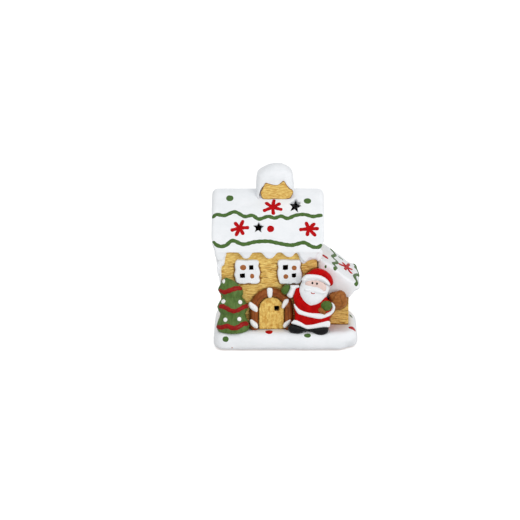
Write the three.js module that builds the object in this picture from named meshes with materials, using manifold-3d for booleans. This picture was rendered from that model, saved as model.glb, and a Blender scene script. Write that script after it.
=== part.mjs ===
// A fired-clay gingerbread house under snow, with a battery light that pushes into its base.
// Millimetres, +Z up, the front faces -Y, the origin is under the middle of the base.
// The clay parts are moulded one by one and luted together; the light unit is moulded plastic.
import * as THREE from "three";
import { mergeVertices } from "three/addons/utils/BufferGeometryUtils.js";
import Module from "manifold-3d";

const wasm = await Module();
wasm.setup();

// Driving dimensions

const seam = 0.3; // slip joint between two clay parts
const fit = 0.15; // gap between two moulded or stamped parts

const pad = { radius: 5, thickness: 1.2, inset: 15 };

const base = {
  width: 126,
  depth: 96,
  height: 15,
  floor: 6,
  belly: 6, // height of the widest level
  undercut: 2.4,
  shoulder: 6.5, // how far the snow bank rolls in at its top
  frontLeft: 10, // its corners in plan
  frontRight: 16,
  backRight: 30,
  backLeft: 14,
};

const house = { middle: -14.5, width: 84, depth: 66, height: 72.8, wall: 4.5 };

const roof = {
  rise: 48,
  thickness: 9.5, // measured straight up
  overLeft: 7.8,
  overRight: 6,
  eaveOut: 5.7,
  lip: 2.8, // how far the eave hangs below the wall top
  round: 2.6,
  cornerUp: 9,
  cornerIn: 4,
  gableSnow: 7, // how far snow hangs on the gable walls
  gableDepth: 2.8,
  apron: 22, // how far it runs down the left-hand wall's corners
};

const wing = {
  width: 27.5,
  front: -20,
  back: 28,
  wall: 4,
  outerHeight: 34, // of its right-hand wall
  pitch: 32.7,
  roofThickness: 9.5,
  overFront: 9,
  overBack: 7,
  overRight: 10,
  crown: 3.2, // how far the roof's middle swells over a flat slope
  snowDrop: 8, // how far the eave hangs down the right-hand wall
  snowDepth: 8.2, // of the snow that hangs on the gable ends
  snowEdge: 28, // height of that snow's lower edge over the base
  round: 3,
};

const passage = { back: 20, front: -12, height: 34 };

const chimney = {
  x: -8.1,
  width: 27.8,
  depth: 21,
  corner: 2.4,
  height: 9.6, // over the ridge
  snowShift: -1.2, // of the heap of snow from the stack's middle
  snowSide: 2.2,
  snowFront: 2.6,
  snowTop: 12.6,
  dome: 11.6, // height of the heap's rounded top
  patchHeight: 15,
};

const starHoles = [
  { x: 8.8, y: -14, radius: 6.4 },
  { x: -23.4, y: -28, radius: 5.4 },
];

const windowBlock = { size: 22.4, corner: 3, relief: 2.6, height: 52.3, spread: 18.4, offset: 0.2 };
const pane = { size: 3.8, across: 3.9, up: 3.6, recess: 1.3, button: 2 };

const door = { x: 2.2, halfWidth: 11, spring: 18.6, relief: 1.6, peep: 4.2, peepX: 4.8, peepZ: 19 };
const arch = { thickness: 8.2, relief: 4.8 };
const icingBar = { length: 9.4, width: 4.8, relief: 5.4, bed: 2 }; // bed: its back face over the wall

const tree = { x: 10.6, height: 49.5, width: 29, depth: 22, lean: -5.6, forward: 4.2, sink: 2 };

const santa = { x: -4, front: 13.4, fallBack: 0.268 }; // x from the front wall's right-hand corner

const cell = { radius: 10, thickness: 3.2 }; // a 2032 coin cell
const lamp = { radius: 2.5, height: 8.6, rim: 0.4, rimHeight: 1 };
const unit = {
  x: house.middle,
  barrel: 22,
  wall: 1.6,
  height: 15.5,
  flange: 27.5,
  plate: 2,
};
const grip = { thickness: 1.7, rib: 0.5, ribs: 2 };
const lid = { radius: 12, thickness: 1.9, plugWall: 1.5, turn: 50 };
const lug = { count: 3, first: 60, arc: 30, reach: 1.1, height: 1, slotExtra: 8 }; // of the battery cover
const board = { thickness: 1.2, radius: 19.6 };
const toggle = {
  radius: 17.4, // its place from the middle of the unit
  length: 8.6,
  width: 4,
  height: 3.6,
  knobLength: 3,
  knobWidth: 1.8,
  knobDepth: 2, // of the knob inside the switch
  ridge: 0.9, // from one finger groove to the next
  travel: 2,
};
const screw = { radius: 1, head: 2, headHeight: 1.4, length: 8, at: 18, seat: 2.7 };
const resistorSize = { radius: 1.1, length: 6.3, y: 9 };

// Levels and edges that follow from them

const footZ = pad.thickness;
const baseTop = footZ + base.height;
const floorTop = footZ + base.floor;
const houseLeft = house.middle - house.width / 2;
const houseRight = house.middle + house.width / 2;
const houseFront = -house.depth / 2;
const wallTopZ = baseTop + house.height;
const roofReach = house.depth / 2 + roof.eaveOut;
const eaveEdge = wallTopZ - roof.lip;
const wingLeft = houseRight + seam;
const wingRight = wingLeft + wing.width;
const wingOuterTop = baseTop + wing.outerHeight;
const wingSlope = Math.tan(THREE.MathUtils.degToRad(wing.pitch));
const wingSnowEdge = baseTop + wing.snowEdge;
const windowZ = baseTop + windowBlock.height;
const doorX = house.middle + door.x;
const doorSpring = baseTop + door.spring;

// How far the roof line has fallen, from 0 at the ridge to 1 at the eave: soft at the ridge, steeper below.
function fall(y) {
  const softness = 0.09;
  const u = (Math.hypot(y / roofReach, softness) - softness) / (Math.hypot(1, softness) - softness);
  return 0.65 * u + 0.35 * u ** 3;
}
const ridgeZ = wallTopZ + roof.thickness + roof.rise * fall(house.depth / 2);
const roofTop = (y) => ridgeZ - roof.rise * fall(y);
const roofSlope = (y) => (roofTop(y + 0.1) - roofTop(y - 0.1)) / 0.2;
const wingWallTop = (x) => wingOuterTop + (wingRight - x) * wingSlope;

// Solids

function solid(geometry) {
  geometry.deleteAttribute("normal");
  geometry.deleteAttribute("uv");
  const merged = mergeVertices(geometry, 1e-4);
  return new wasm.Manifold(
    new wasm.Mesh({
      numProp: 3,
      vertProperties: merged.attributes.position.array,
      triVerts: new Uint32Array(merged.index.array),
    }),
  );
}

function geometryOf(body) {
  const { numProp, numVert, vertProperties, triVerts } = body.getMesh();
  const position = new Float32Array(numVert * 3);
  for (let i = 0; i < numVert; i++) {
    const start = i * numProp;
    position.set(vertProperties.subarray(start, start + 3), i * 3);
  }
  const geometry = new THREE.BufferGeometry();
  geometry.setAttribute("position", new THREE.BufferAttribute(position, 3));
  geometry.setIndex(new THREE.BufferAttribute(new Uint32Array(triVerts), 1));
  geometry.computeVertexNormals();
  return geometry;
}

const axisX = new THREE.Vector3(1, 0, 0);
const axisY = new THREE.Vector3(0, 1, 0);
const axisZ = new THREE.Vector3(0, 0, 1);

function box(x0, x1, y0, y1, z0, z1) {
  const geometry = new THREE.BoxGeometry(x1 - x0, y1 - y0, z1 - z0);
  return solid(geometry.translate((x0 + x1) / 2, (y0 + y1) / 2, (z0 + z1) / 2));
}

function cylinder(radius, z0, z1, sides = 32, x = 0, y = 0) {
  const geometry = new THREE.CylinderGeometry(radius, radius, z1 - z0, sides);
  return solid(geometry.rotateX(Math.PI / 2).translate(x, y, (z0 + z1) / 2));
}

// A profile of [radius, z] turned about the Z axis. It runs upwards, and its ends meet or lie on the axis.
function turned(profile, sides = 28) {
  const points = profile.map(([r, z]) => new THREE.Vector2(r, z));
  return solid(new THREE.LatheGeometry(points, sides).rotateX(Math.PI / 2));
}

// Closed rings with the same number of points, joined in order. Triangles of the first ring close both ends.
function skin(rings, capTriangles) {
  const count = rings[0].length;
  const last = (rings.length - 1) * count;
  const index = [];
  for (let r = 0; r + 1 < rings.length; r++)
    for (let i = 0; i < count; i++) {
      const [a, b] = [r * count + i, r * count + ((i + 1) % count)];
      index.push(a, b, b + count, a, b + count, a + count);
    }
  for (const [a, b, c] of capTriangles) index.push(a, c, b, last + a, last + b, last + c);
  const geometry = new THREE.BufferGeometry();
  const position = rings.flat().flatMap((p) => [p.x, p.y, p.z]);
  geometry.setAttribute("position", new THREE.Float32BufferAttribute(position, 3));
  geometry.setIndex(index);
  return geometry;
}

// An outline extruded along one axis, its ends rounded over by drawing the outline in.
function prism(shape, axis, from, to, round = 0, ends = [round, round], steps = 3) {
  const length = to - from;
  const flat = shape.extractPoints(3).shape;
  if (flat[0].distanceTo(flat.at(-1)) < 1e-6) flat.pop();
  if (THREE.ShapeUtils.isClockWise(flat)) flat.reverse();
  const bounds = new THREE.Box2().setFromPoints(flat);
  const middle = bounds.getCenter(new THREE.Vector2());
  const size = bounds.getSize(new THREE.Vector2());
  const ring = (inset, along) =>
    flat.map(({ x, y }) => {
      const u = middle.x + (x - middle.x) * (1 - (2 * inset) / size.x);
      const v = middle.y + (y - middle.y) * (1 - (2 * inset) / size.y);
      return new THREE.Vector3(u, v, along);
    });
  const roundOver = (radius) =>
    Array.from({ length: radius > 0 ? steps + 1 : 1 }, (_, k) => {
      const a = radius > 0 ? ((Math.PI / 2) * k) / steps : Math.PI / 2;
      return [radius * (1 - Math.sin(a)), radius * (1 - Math.cos(a))];
    });
  const rings = roundOver(ends[0])
    .map(([inset, along]) => ring(inset, along))
    .concat(roundOver(ends[1]).reverse().map(([inset, along]) => ring(inset, length - along)));
  const geometry = skin(rings, THREE.ShapeUtils.triangulateShape(flat, []));
  const place = new THREE.Matrix4();
  if (axis === "x") place.makeBasis(axisY, axisZ, axisX).setPosition(from, 0, 0);
  if (axis === "y") place.makeBasis(axisX, axisZ, axisY.clone().negate()).setPosition(0, to, 0);
  if (axis === "z") place.setPosition(0, 0, from);
  return solid(geometry.applyMatrix4(place));
}

function roundedRectangle(x, y, width, height, corner) {
  const [w, h] = [width / 2, height / 2];
  const shape = new THREE.Shape();
  shape.absarc(x + w - corner, y + h - corner, corner, 0, Math.PI / 2);
  shape.absarc(x - w + corner, y + h - corner, corner, Math.PI / 2, Math.PI);
  shape.absarc(x - w + corner, y - h + corner, corner, Math.PI, 1.5 * Math.PI);
  shape.absarc(x + w - corner, y - h + corner, corner, 1.5 * Math.PI, 2 * Math.PI);
  shape.closePath();
  return shape;
}

// Convex closed rings joined in order.
function loft(rings) {
  const fan = Array.from({ length: rings[0].length - 2 }, (_, i) => [0, i + 1, i + 2]);
  return solid(skin(rings, fan));
}

// A rounded bun that bulges towards the front from an oval outline: middle at x, z, turned by `turn` degrees.
function bun({ x, z, rx, rz, turn = 0, front, back, bulge = 0.75 }, grow = 0) {
  const [sides, steps] = [14, 3];
  const tilt = new THREE.Matrix4().makeRotationY(-THREE.MathUtils.degToRad(turn)).setPosition(x, 0, z);
  const roundDepth = Math.min((back - front) * bulge, Math.max(rx, rz));
  const ring = (y, size) =>
    Array.from({ length: sides }, (_, i) => {
      const a = (2 * Math.PI * i) / sides;
      const [u, v] = [(rx * size + grow) * Math.cos(a), (rz * size + grow) * Math.sin(a)];
      return new THREE.Vector3(u, y, v).applyMatrix4(tilt);
    });
  const rings = [ring(back, 1)];
  for (let k = 0; k <= steps; k++) {
    const a = ((Math.PI / 2) * k) / (steps + 0.35);
    rings.push(ring(front - grow + roundDepth * (1 - Math.sin(a)), Math.cos(a)));
  }
  return loft(rings);
}

// A smooth closed outline through points given as [x, z] in the wall's plane, drawn out by `grow`.
function outline(points, samples, grow = 0) {
  const curve = new THREE.CatmullRomCurve3(
    points.map(([x, z]) => new THREE.Vector3(x, z, 0)),
    true,
    "centripetal",
  );
  const flat = curve.getSpacedPoints(samples).slice(0, samples);
  const outward = THREE.ShapeUtils.isClockWise(flat) ? -grow : grow;
  return new THREE.Shape(
    flat.map((p, i) => {
      const along = flat[(i + 1) % samples].clone().sub(flat.at(i - 1)).normalize();
      return new THREE.Vector2(p.x + along.y * outward, p.y - along.x * outward);
    }),
  );
}

// A relief with that outline, rounded over at its front edge.
function relief(points, front, back, round, grow = 0, samples = 18) {
  return prism(outline(points, samples, grow), "y", front - grow, back, 0, [0, round], 2);
}

// Slopes a relief's top and sides down towards its back, from its front plane.
function fallingBack(body, front, slope) {
  const place = new THREE.Matrix4().makeShear(0, 0, 0, -slope, 0, 0).setPosition(0, 0, slope * front);
  return body.transform(place.elements);
}

// Finishes

const paint = (color, roughness = 0.6) => new THREE.MeshStandardMaterial({ color, roughness, metalness: 0 });
const metal = (color, roughness = 0.35) => new THREE.MeshStandardMaterial({ color, roughness, metalness: 1 });
const snowPaint = paint(0xeceef1, 0.62);
const gingerPaint = paint(0xcda450, 0.58);
const chocolatePaint = paint(0x87491f, 0.55);
const icingPaint = paint(0xe9ebed, 0.5);
const firGreen = paint(0x587143, 0.55);
const mittenGreen = paint(0x55703c, 0.55);
const coatRed = paint(0xb30f10, 0.45);
const skinPaint = paint(0xe7cdc5, 0.55);
const bootBlack = paint(0x1f1f21, 0.4);
const sackBrown = paint(0x8d5c2e, 0.6);
const whitePlastic = paint(0xe6e4dc, 0.45);
const blackPlastic = paint(0x26262a, 0.5);
const greenBoard = paint(0x2f6b3a, 0.5);
const siliconeGrey = paint(0xb9bcbd, 0.7);
const feltGrey = paint(0x55575a, 0.95);
const resistorBeige = paint(0xcfae7c, 0.5);
const warmEpoxy = paint(0xf4e3a8, 0.15);
const nickel = metal(0xc9cacb, 0.3);
const springSteel = metal(0xb8b9bb, 0.35);

function part(name, body, material) {
  const mesh = new THREE.Mesh(geometryOf(body), material);
  mesh.name = name;
  return mesh;
}

// The base: a low bank of snow, hollow under the rooms, with a hole for the light unit

function basePlan(inset, z) {
  const corners = [
    [1, -1, base.frontRight, -90],
    [1, 1, base.backRight, 0],
    [-1, 1, base.backLeft, 90],
    [-1, -1, base.frontLeft, 180],
  ];
  const steps = 6;
  return corners.flatMap(([sx, sy, radius, start]) => {
    const r = Math.max(radius - inset, 4);
    const [cx, cy] = [sx * (base.width / 2 - inset - r), sy * (base.depth / 2 - inset - r)];
    return Array.from({ length: steps + 1 }, (_, i) => {
      const a = THREE.MathUtils.degToRad(start + (90 * i) / steps);
      return new THREE.Vector3(cx + r * Math.cos(a), cy + r * Math.sin(a), z);
    });
  });
}

function bankOfSnow(grow = 0) {
  const bellyZ = footZ + base.belly;
  const rings = [];
  for (let k = 0; k < 3; k++) {
    const t = 1 - k / 3;
    rings.push(basePlan(base.undercut * (1 - Math.sqrt(1 - t * t)) - grow, bellyZ - base.belly * t - grow));
  }
  for (let k = 0; k <= 5; k++) {
    const a = ((Math.PI / 2) * k) / 5;
    const z = bellyZ + (base.height - base.belly) * Math.sin(a) + grow;
    rings.push(basePlan(base.shoulder * (1 - Math.cos(a)) - grow, z));
  }
  return loft(rings);
}
const bankGrown = bankOfSnow(seam);

const barrelHole = unit.barrel + grip.thickness + grip.rib + seam;
const flangeRecess = unit.plate + 2 * seam;

// The hollow inside the main house and inside the wing, between two levels.
function mainRoom(z0, z1) {
  const [left, right, back] = [houseLeft + house.wall, houseRight - house.wall, house.depth / 2 - house.wall];
  return box(left, right, -back, back, z0, z1);
}
function wingRoom(z0, z1) {
  const left = houseRight - house.wall - 1;
  return box(left, wingRight - wing.wall, wing.front + wing.wall, wing.back - wing.wall, z0, z1);
}

function basePlinth() {
  const above = baseTop + base.height;
  return bankOfSnow()
    .subtract(mainRoom(floorTop, above))
    .subtract(wingRoom(floorTop, above))
    .subtract(cylinder(barrelHole, footZ - 1, above, 32, unit.x))
    .subtract(cylinder(unit.flange + 2 * seam, footZ - 1, footZ + flangeRecess, 32, unit.x));
}

// The main house: four walls with gable ends, pierced behind the window panes and the door

function gableProfile(grow, bottom) {
  const reach = house.depth / 2 + grow;
  const steps = 16;
  const shape = new THREE.Shape();
  shape.moveTo(-reach, bottom);
  shape.lineTo(reach, bottom);
  for (let i = 0; i <= steps; i++) {
    const y = reach - (2 * reach * i) / steps;
    shape.lineTo(y, roofTop(y) - roof.thickness + grow);
  }
  shape.closePath();
  return shape;
}

const paneSides = [
  [-1, 1],
  [1, 1],
  [-1, -1],
  [1, -1],
];
// Panes that are pierced through, as [window, pane]; the others are blind buttons of brown paint.
const isPierced = (windowSide, [u, v]) => u * v * windowSide < 0;
const windowX = (side) => house.middle + windowBlock.offset + side * windowBlock.spread;
const paneCentre = (side, u, v) => [windowX(side) + u * pane.across, windowZ + v * pane.up];

function lightHoles(grow = 0) {
  const depth = house.wall + windowBlock.relief + 4;
  const half = pane.size / 2 + grow;
  const hole = (x, z, halfSize) =>
    box(x - halfSize, x + halfSize, houseFront - depth, houseFront + depth, z - halfSize, z + halfSize);
  let holes = hole(doorX + door.peepX, baseTop + door.peepZ, door.peep / 2 + grow);
  for (const side of [-1, 1])
    for (const [u, v] of paneSides)
      if (isPierced(side, [u, v])) {
        const [x, z] = paneCentre(side, u, v);
        holes = holes.add(hole(x, z, half));
      }
  return holes;
}

function houseWalls() {
  const outer = prism(gableProfile(0, baseTop), "x", houseLeft, houseRight);
  const passageTop = baseTop + passage.height;
  const left = houseRight - house.wall - 1;
  const opening = box(left, houseRight + 1, passage.front, passage.back, baseTop - 1, passageTop);
  return outer
    .subtract(mainRoom(baseTop - 1, ridgeZ))
    .subtract(opening)
    .subtract(lightHoles());
}
const wallReach = house.depth / 2 + seam;
const wallsGrown = box(houseLeft - seam, houseRight + seam, -wallReach, wallReach, 0, ridgeZ - roof.rise / 2);

// The main roof: one thick blanket of snow with icicles at the eaves and two stars cut through

const roofLeft = houseLeft - roof.overLeft;
const roofRight = houseRight + roof.overRight;

// Icicles as { x: place along the eave, half: half width, drop: length below the eave edge }.
const frontIcicles = [
  { x: houseLeft - 0.8, half: 4.6, drop: 8.6 },
  { x: windowX(-1) - 1.6, half: 5.4, drop: 6.4 },
  { x: house.middle + 0.6, half: 6, drop: 6.4 },
  { x: house.middle + 17.6, half: 5.6, drop: 4.8 },
  { x: houseRight - 10.4, half: 4.8, drop: 9.4 },
  { x: houseRight - 3, half: 4, drop: 6.2 },
];
const backIcicles = Array.from({ length: 7 }, (_, i) => ({
  x: houseLeft + (house.width * i) / 6,
  half: 5,
  drop: 5 + 3 * Math.sin(2.4 * i) ** 2,
}));

function icicleSkirt(icicles, top, edge, left, right) {
  const steps = 36;
  const shape = new THREE.Shape();
  shape.moveTo(left, top);
  for (let i = 0; i <= steps; i++) {
    const x = left + ((right - left) * i) / steps;
    let drop = 0;
    for (const one of icicles) {
      const u = Math.abs(x - one.x) / one.half;
      if (u < 1) drop = Math.max(drop, one.drop * (1 - u ** 2.4) ** 0.7);
    }
    shape.lineTo(x, edge - drop);
  }
  shape.lineTo(right, top);
  shape.closePath();
  return shape;
}

// The wedge that slopes the roof's end in towards the wall below `cornerUp`.
function roofCorner(x, inward) {
  const [low, high] = [eaveEdge - 5, eaveEdge + roof.cornerUp];
  const shape = new THREE.Shape();
  shape.moveTo(x - inward, low);
  shape.lineTo(x + inward * roof.cornerIn * (1 + 5 / roof.cornerUp), low);
  shape.lineTo(x, high);
  shape.lineTo(x - inward, high);
  shape.closePath();
  return prism(shape, "y", -roofReach - 5, roofReach + 5);
}

function roofBlanket(grow = 0) {
  const steps = 14;
  const reach = roofReach + grow;
  const shape = new THREE.Shape();
  const lipIn = house.depth / 2;
  shape.moveTo(-lipIn, eaveEdge - grow);
  shape.lineTo(lipIn, eaveEdge - grow);
  shape.quadraticCurveTo(reach, eaveEdge - grow, reach, roofTop(roofReach) + grow);
  for (let i = 1; i < steps; i++) {
    const y = reach - (2 * reach * i) / steps;
    shape.lineTo(y, roofTop(y) + grow);
  }
  shape.lineTo(-reach, roofTop(roofReach) + grow);
  shape.quadraticCurveTo(-reach, eaveEdge - grow, -lipIn, eaveEdge - grow);
  const blanket = prism(shape, "x", roofLeft - grow, roofRight + grow, roof.round, undefined, 2);
  return blanket.subtract(roofCorner(roofLeft - grow, 1)).subtract(roofCorner(roofRight + grow, -1));
}
const roofGrown = roofBlanket(seam);

function starShape(radius) {
  const shape = new THREE.Shape();
  for (let i = 0; i < 10; i++) {
    const a = Math.PI / 2 + (i * Math.PI) / 5;
    const r = i % 2 ? radius * 0.4 : radius;
    if (i) shape.lineTo(r * Math.cos(a), r * Math.sin(a));
    else shape.moveTo(r * Math.cos(a), r * Math.sin(a));
  }
  shape.closePath();
  return shape;
}

// A star-shaped cutter that stands square on the roof at y.
function starCutter({ x, y, radius }) {
  const length = 4 * roof.thickness;
  const geometry = new THREE.ExtrudeGeometry(starShape(radius), { depth: length, bevelEnabled: false });
  const along = new THREE.Vector3(0, 1, roofSlope(y)).normalize();
  const outward = new THREE.Vector3().crossVectors(axisX, along);
  const place = new THREE.Matrix4().makeBasis(axisX, along, outward);
  const start = new THREE.Vector3(x, y, roofTop(y)).addScaledVector(outward, -length / 2);
  return solid(geometry.applyMatrix4(place.setPosition(start)));
}

// Snow that hangs on a gable wall under the roof, down to `lowest` at the front and back corners.
function gableSnow(from, to, lowest) {
  const reach = house.depth / 2 + roof.lip;
  const steps = 24;
  const shape = new THREE.Shape();
  for (let i = 0; i <= steps; i++) {
    const y = reach - (2 * reach * i) / steps;
    const wave = roof.gableSnow * (1 + 0.35 * Math.cos((3.5 * Math.PI * y) / reach));
    const hanging = roofTop(y) - roof.thickness - wave;
    const corner = lowest + (1 - Math.abs(y) / reach) * 110;
    const edge = Math.max(Math.min(hanging, corner), lowest);
    if (i) shape.lineTo(y, edge);
    else shape.moveTo(y, edge);
  }
  for (let i = 0; i <= steps; i++) {
    const y = -reach + (2 * reach * i) / steps;
    shape.lineTo(y, roofTop(y) - roof.thickness / 2);
  }
  shape.closePath();
  return prism(shape, "x", from, to);
}

function mainRoof() {
  const attic = prism(gableProfile(seam, baseTop), "x", roofLeft - 1, roofRight + 1);
  const skirtTop = eaveEdge + 4;
  const skirt = (icicles, from, to) => {
    const shape = icicleSkirt(icicles, skirtTop, eaveEdge + 0.6, houseLeft - 5, houseRight + 1);
    return prism(shape, "y", from, to, 0.8, undefined, 1);
  };
  const front = skirt(frontIcicles, -roofReach + 0.6, houseFront - seam);
  const back = skirt(backIcicles, -houseFront + seam, roofReach - 0.6);
  const [leftWall, rightWall] = [houseLeft - seam, houseRight + seam];
  const wingRoofTop = wingWallTop(wingLeft) + wing.roofThickness + wing.crown;
  const whole = roofBlanket()
    .subtract(attic)
    .add(front)
    .add(back)
    .add(gableSnow(leftWall - roof.gableDepth, leftWall, eaveEdge - roof.apron))
    .add(gableSnow(rightWall, rightWall + roof.gableDepth, wingRoofTop + seam));
  return starHoles.reduce((body, star) => body.subtract(starCutter(star)), whole);
}

// The chimney: a gingerbread stack with a heap of snow that leaves its front face bare

const chimneyTop = ridgeZ + chimney.height;

function chimneyStack(grow = 0) {
  const [w, d] = [chimney.width + 2 * grow, chimney.depth + 2 * grow];
  const plan = roundedRectangle(chimney.x, 0, w, d, chimney.corner + grow);
  return prism(plan, "z", ridgeZ - roof.rise / 2, chimneyTop + grow);
}

function chimneySnow() {
  const w = chimney.width / 2 + chimney.snowSide;
  const d = chimney.depth / 2 + chimney.snowFront;
  const bottom = ridgeZ - 12;
  const top = chimneyTop + chimney.snowTop;
  const shoulder = top - chimney.dome;
  const sides = 20;
  const ring = (z, size, flare = 0) =>
    Array.from({ length: sides }, (_, i) => {
      const a = (2 * Math.PI * i) / sides;
      const [c, s] = [Math.cos(a), Math.sin(a)];
      const square = 0.42; // between a rectangle and an oval
      return new THREE.Vector3(
        chimney.x + chimney.snowShift + (w * size + flare) * Math.sign(c) * Math.abs(c) ** square,
        d * size * Math.sign(s) * Math.abs(s) ** square,
        z,
      );
    });
  const rings = [ring(bottom, 1, 1.2), ring(ridgeZ, 1, 0.6), ring(shoulder, 1)];
  for (let k = 1; k <= 6; k++) {
    const a = ((Math.PI / 2) * k) / 6.4;
    rings.push(ring(shoulder + (top - shoulder) * Math.sin(a), 1 - 0.9 * (1 - Math.cos(a)) ** 1.1));
  }
  const patch = outline(
    [
      [chimney.x - 14.8, ridgeZ - 3.4],
      [chimney.x - 10.8, ridgeZ + 5.2],
      [chimney.x + 3, ridgeZ + 4.4],
      [chimney.x + 6.8, ridgeZ + 7.2],
      [chimney.x + 10.4, ridgeZ + 3.6],
      [chimney.x + 14.9, ridgeZ - 2],
      [chimney.x + 13, ridgeZ - chimney.patchHeight],
      [chimney.x - 13, ridgeZ - chimney.patchHeight],
    ],
    24,
  );
  return loft(rings)
    .subtract(chimneyStack(seam))
    .subtract(prism(patch, "y", -d - 4, 0))
    .subtract(roofGrown);
}

// The wing: three walls under a lean-to roof, open to the main house

function wingProfile() {
  const shape = new THREE.Shape();
  shape.moveTo(wingLeft, baseTop);
  shape.lineTo(wingRight, baseTop);
  shape.lineTo(wingRight, wingWallTop(wingRight));
  shape.lineTo(wingLeft, wingWallTop(wingLeft));
  shape.closePath();
  return shape;
}

function wingWalls() {
  return prism(wingProfile(), "y", wing.front, wing.back).subtract(wingRoom(baseTop - 1, ridgeZ));
}

// The wing roof's top, which swells over its slope, and a place across the wing by its share of the width.
const outer = (x) => {
  const u = THREE.MathUtils.clamp((x - wingLeft) / wing.width, 0, 1);
  return wingWallTop(x) + wing.roofThickness + wing.crown * (1 - u ** 2);
};
const across = (share) => wingLeft + wing.width * share;

function wingRoof() {
  const eaveX = wingRight + wing.overRight;
  const under = wingWallTop(wingRight);
  const shape = new THREE.Shape();
  shape.moveTo(wingLeft, wingWallTop(wingLeft) + seam);
  shape.lineTo(wingRight + seam, under + seam);
  shape.lineTo(wingRight + seam, under - wing.snowDrop + 3);
  const drop = under - wing.snowDrop;
  shape.quadraticCurveTo(wingRight + 2, drop, wingRight + wing.overRight / 2, drop + 1);
  shape.quadraticCurveTo(eaveX, drop + 3, eaveX, under - 1);
  shape.quadraticCurveTo(eaveX, outer(wingRight) - 1.4, wingRight + 2, outer(wingRight + 2));
  for (let share = 0.75; share >= 0; share -= 0.25) shape.lineTo(across(share), outer(across(share)));
  shape.closePath();
  const blanket = prism(shape, "y", wing.front - wing.overFront, wing.back + wing.overBack, wing.round)
    .subtract(wallsGrown)
    .subtract(prism(wingProfile(), "y", wing.front - seam, wing.back + seam).translate(0, 0, seam))
    .subtract(box(wingLeft - 1, wingRight + seam, wing.front - seam, wing.back + seam, baseTop, under));
  const gable = new THREE.Shape();
  gable.moveTo(wingLeft, outer(wingLeft) - 3);
  gable.lineTo(wingLeft, wingSnowEdge - 1);
  gable.quadraticCurveTo(across(0.28), wingSnowEdge - 4, across(0.5), wingSnowEdge);
  gable.quadraticCurveTo(across(0.78), wingSnowEdge + 3, wingRight + 1.6, wingSnowEdge - 3);
  gable.lineTo(wingRight + 3, outer(wingRight) - 4);
  gable.closePath();
  const front = prism(gable, "y", wing.front - seam - wing.snowDepth, wing.front - seam, 1.2);
  const back = prism(gable, "y", wing.back + seam, wing.back + wing.overBack - 1, 1.2);
  return blanket.add(front).add(back);
}
const wingGrown = box(wingLeft - 1, wingRight + seam, wing.front - seam, wing.back + seam, 0, ridgeZ);
const wingRoofBody = wingRoof();

// Relief work on the front wall

function windowOutline(side, grow = 0) {
  const size = windowBlock.size + 2 * grow;
  return roundedRectangle(windowX(side), windowZ, size, size, windowBlock.corner);
}

function windowRelief(side) {
  const back = houseFront - seam;
  const front = back - windowBlock.relief;
  let block = prism(windowOutline(side), "y", front, back, 0, [0, 1]).subtract(lightHoles());
  for (const [u, v] of paneSides)
    if (!isPierced(side, [u, v])) {
      const [x, z] = paneCentre(side, u, v);
      const button = new THREE.CylinderGeometry(pane.button, pane.button, 2 * pane.recess, 12);
      block = block.subtract(solid(button.translate(x, front, z)));
    }
  return block;
}

// The space that both windows take, with a seam all round.
const windowsGrown = [-1, 1]
  .map((side) => {
    const front = houseFront - windowBlock.relief - 2 * seam;
    return prism(windowOutline(side, seam), "y", front, houseFront);
  })
  .reduce((a, b) => a.add(b));

function doorShape(halfWidth, bottom) {
  const shape = new THREE.Shape();
  shape.moveTo(doorX - halfWidth, bottom);
  shape.lineTo(doorX + halfWidth, bottom);
  shape.lineTo(doorX + halfWidth, doorSpring);
  shape.absarc(doorX, doorSpring, halfWidth, 0, Math.PI);
  shape.closePath();
  return shape;
}

function doorPanel() {
  const back = houseFront - seam;
  return prism(doorShape(door.halfWidth - seam, baseTop + seam), "y", back - door.relief, back)
    .subtract(lightHoles())
    .subtract(bankGrown);
}

// The arch's centre line runs up the left leg, round the top and down the right leg.
const archRadius = door.halfWidth + arch.thickness / 2;
function archPath(t) {
  const legs = door.spring / (door.spring * 2 + Math.PI * archRadius);
  const side = t < 0.5 ? -1 : 1;
  const s = t < 0.5 ? t : 1 - t;
  if (s < legs) {
    const angle = side < 0 ? Math.PI : 0;
    return { x: doorX + side * archRadius, z: baseTop + (door.spring * s) / legs, angle };
  }
  const a = Math.PI * (1 - (t - legs) / (1 - 2 * legs));
  return { x: doorX + archRadius * Math.cos(a), z: doorSpring + archRadius * Math.sin(a), angle: a };
}

// White icing bars across the arch: place along the path and lean in degrees.
const icingBars = [
  { t: 0.09, lean: -40 },
  { t: 0.3, lean: -45 },
  { t: 0.5, lean: 90 },
  { t: 0.71, lean: 58 },
  { t: 0.91, lean: 36 },
];

function icingBarSolid(one, grow = 0) {
  const { x, z } = archPath(one.t);
  const wall = houseFront - seam;
  const size = { rx: icingBar.length / 2, rz: icingBar.width / 2, turn: one.lean, bulge: 0.8 };
  return bun({ x, z, ...size, front: wall - icingBar.relief, back: wall - icingBar.bed + grow }, grow);
}

// The bare half-round bar of the arch.
function archBar(grow = 0) {
  const back = houseFront - seam;
  const [steps, sides] = [18, 6];
  const half = arch.thickness / 2 - seam + grow;
  const rings = [];
  for (let k = 0; k <= steps; k++) {
    const { x, z, angle } = archPath(k / steps);
    rings.push(
      Array.from({ length: sides }, (_, i) => {
        const a = (Math.PI * i) / (sides - 1);
        const across = half * Math.cos(a);
        const out = (arch.relief + grow) * Math.sin(a);
        return new THREE.Vector3(x + across * Math.cos(angle), back - out, z + across * Math.sin(angle));
      }),
    );
  }
  return loft(rings);
}

function doorArch() {
  const bare = archBar().subtract(bankGrown);
  return icingBars.reduce((body, one) => body.subtract(icingBarSolid(one, seam)), bare);
}

// The space that the arch and its bars take, with a seam all round.
const archGrown = icingBars.reduce((body, one) => body.add(icingBarSolid(one, seam)), archBar(seam));

// The fir tree: three full tiers, leaning a little, set against the left-hand corner

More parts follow.
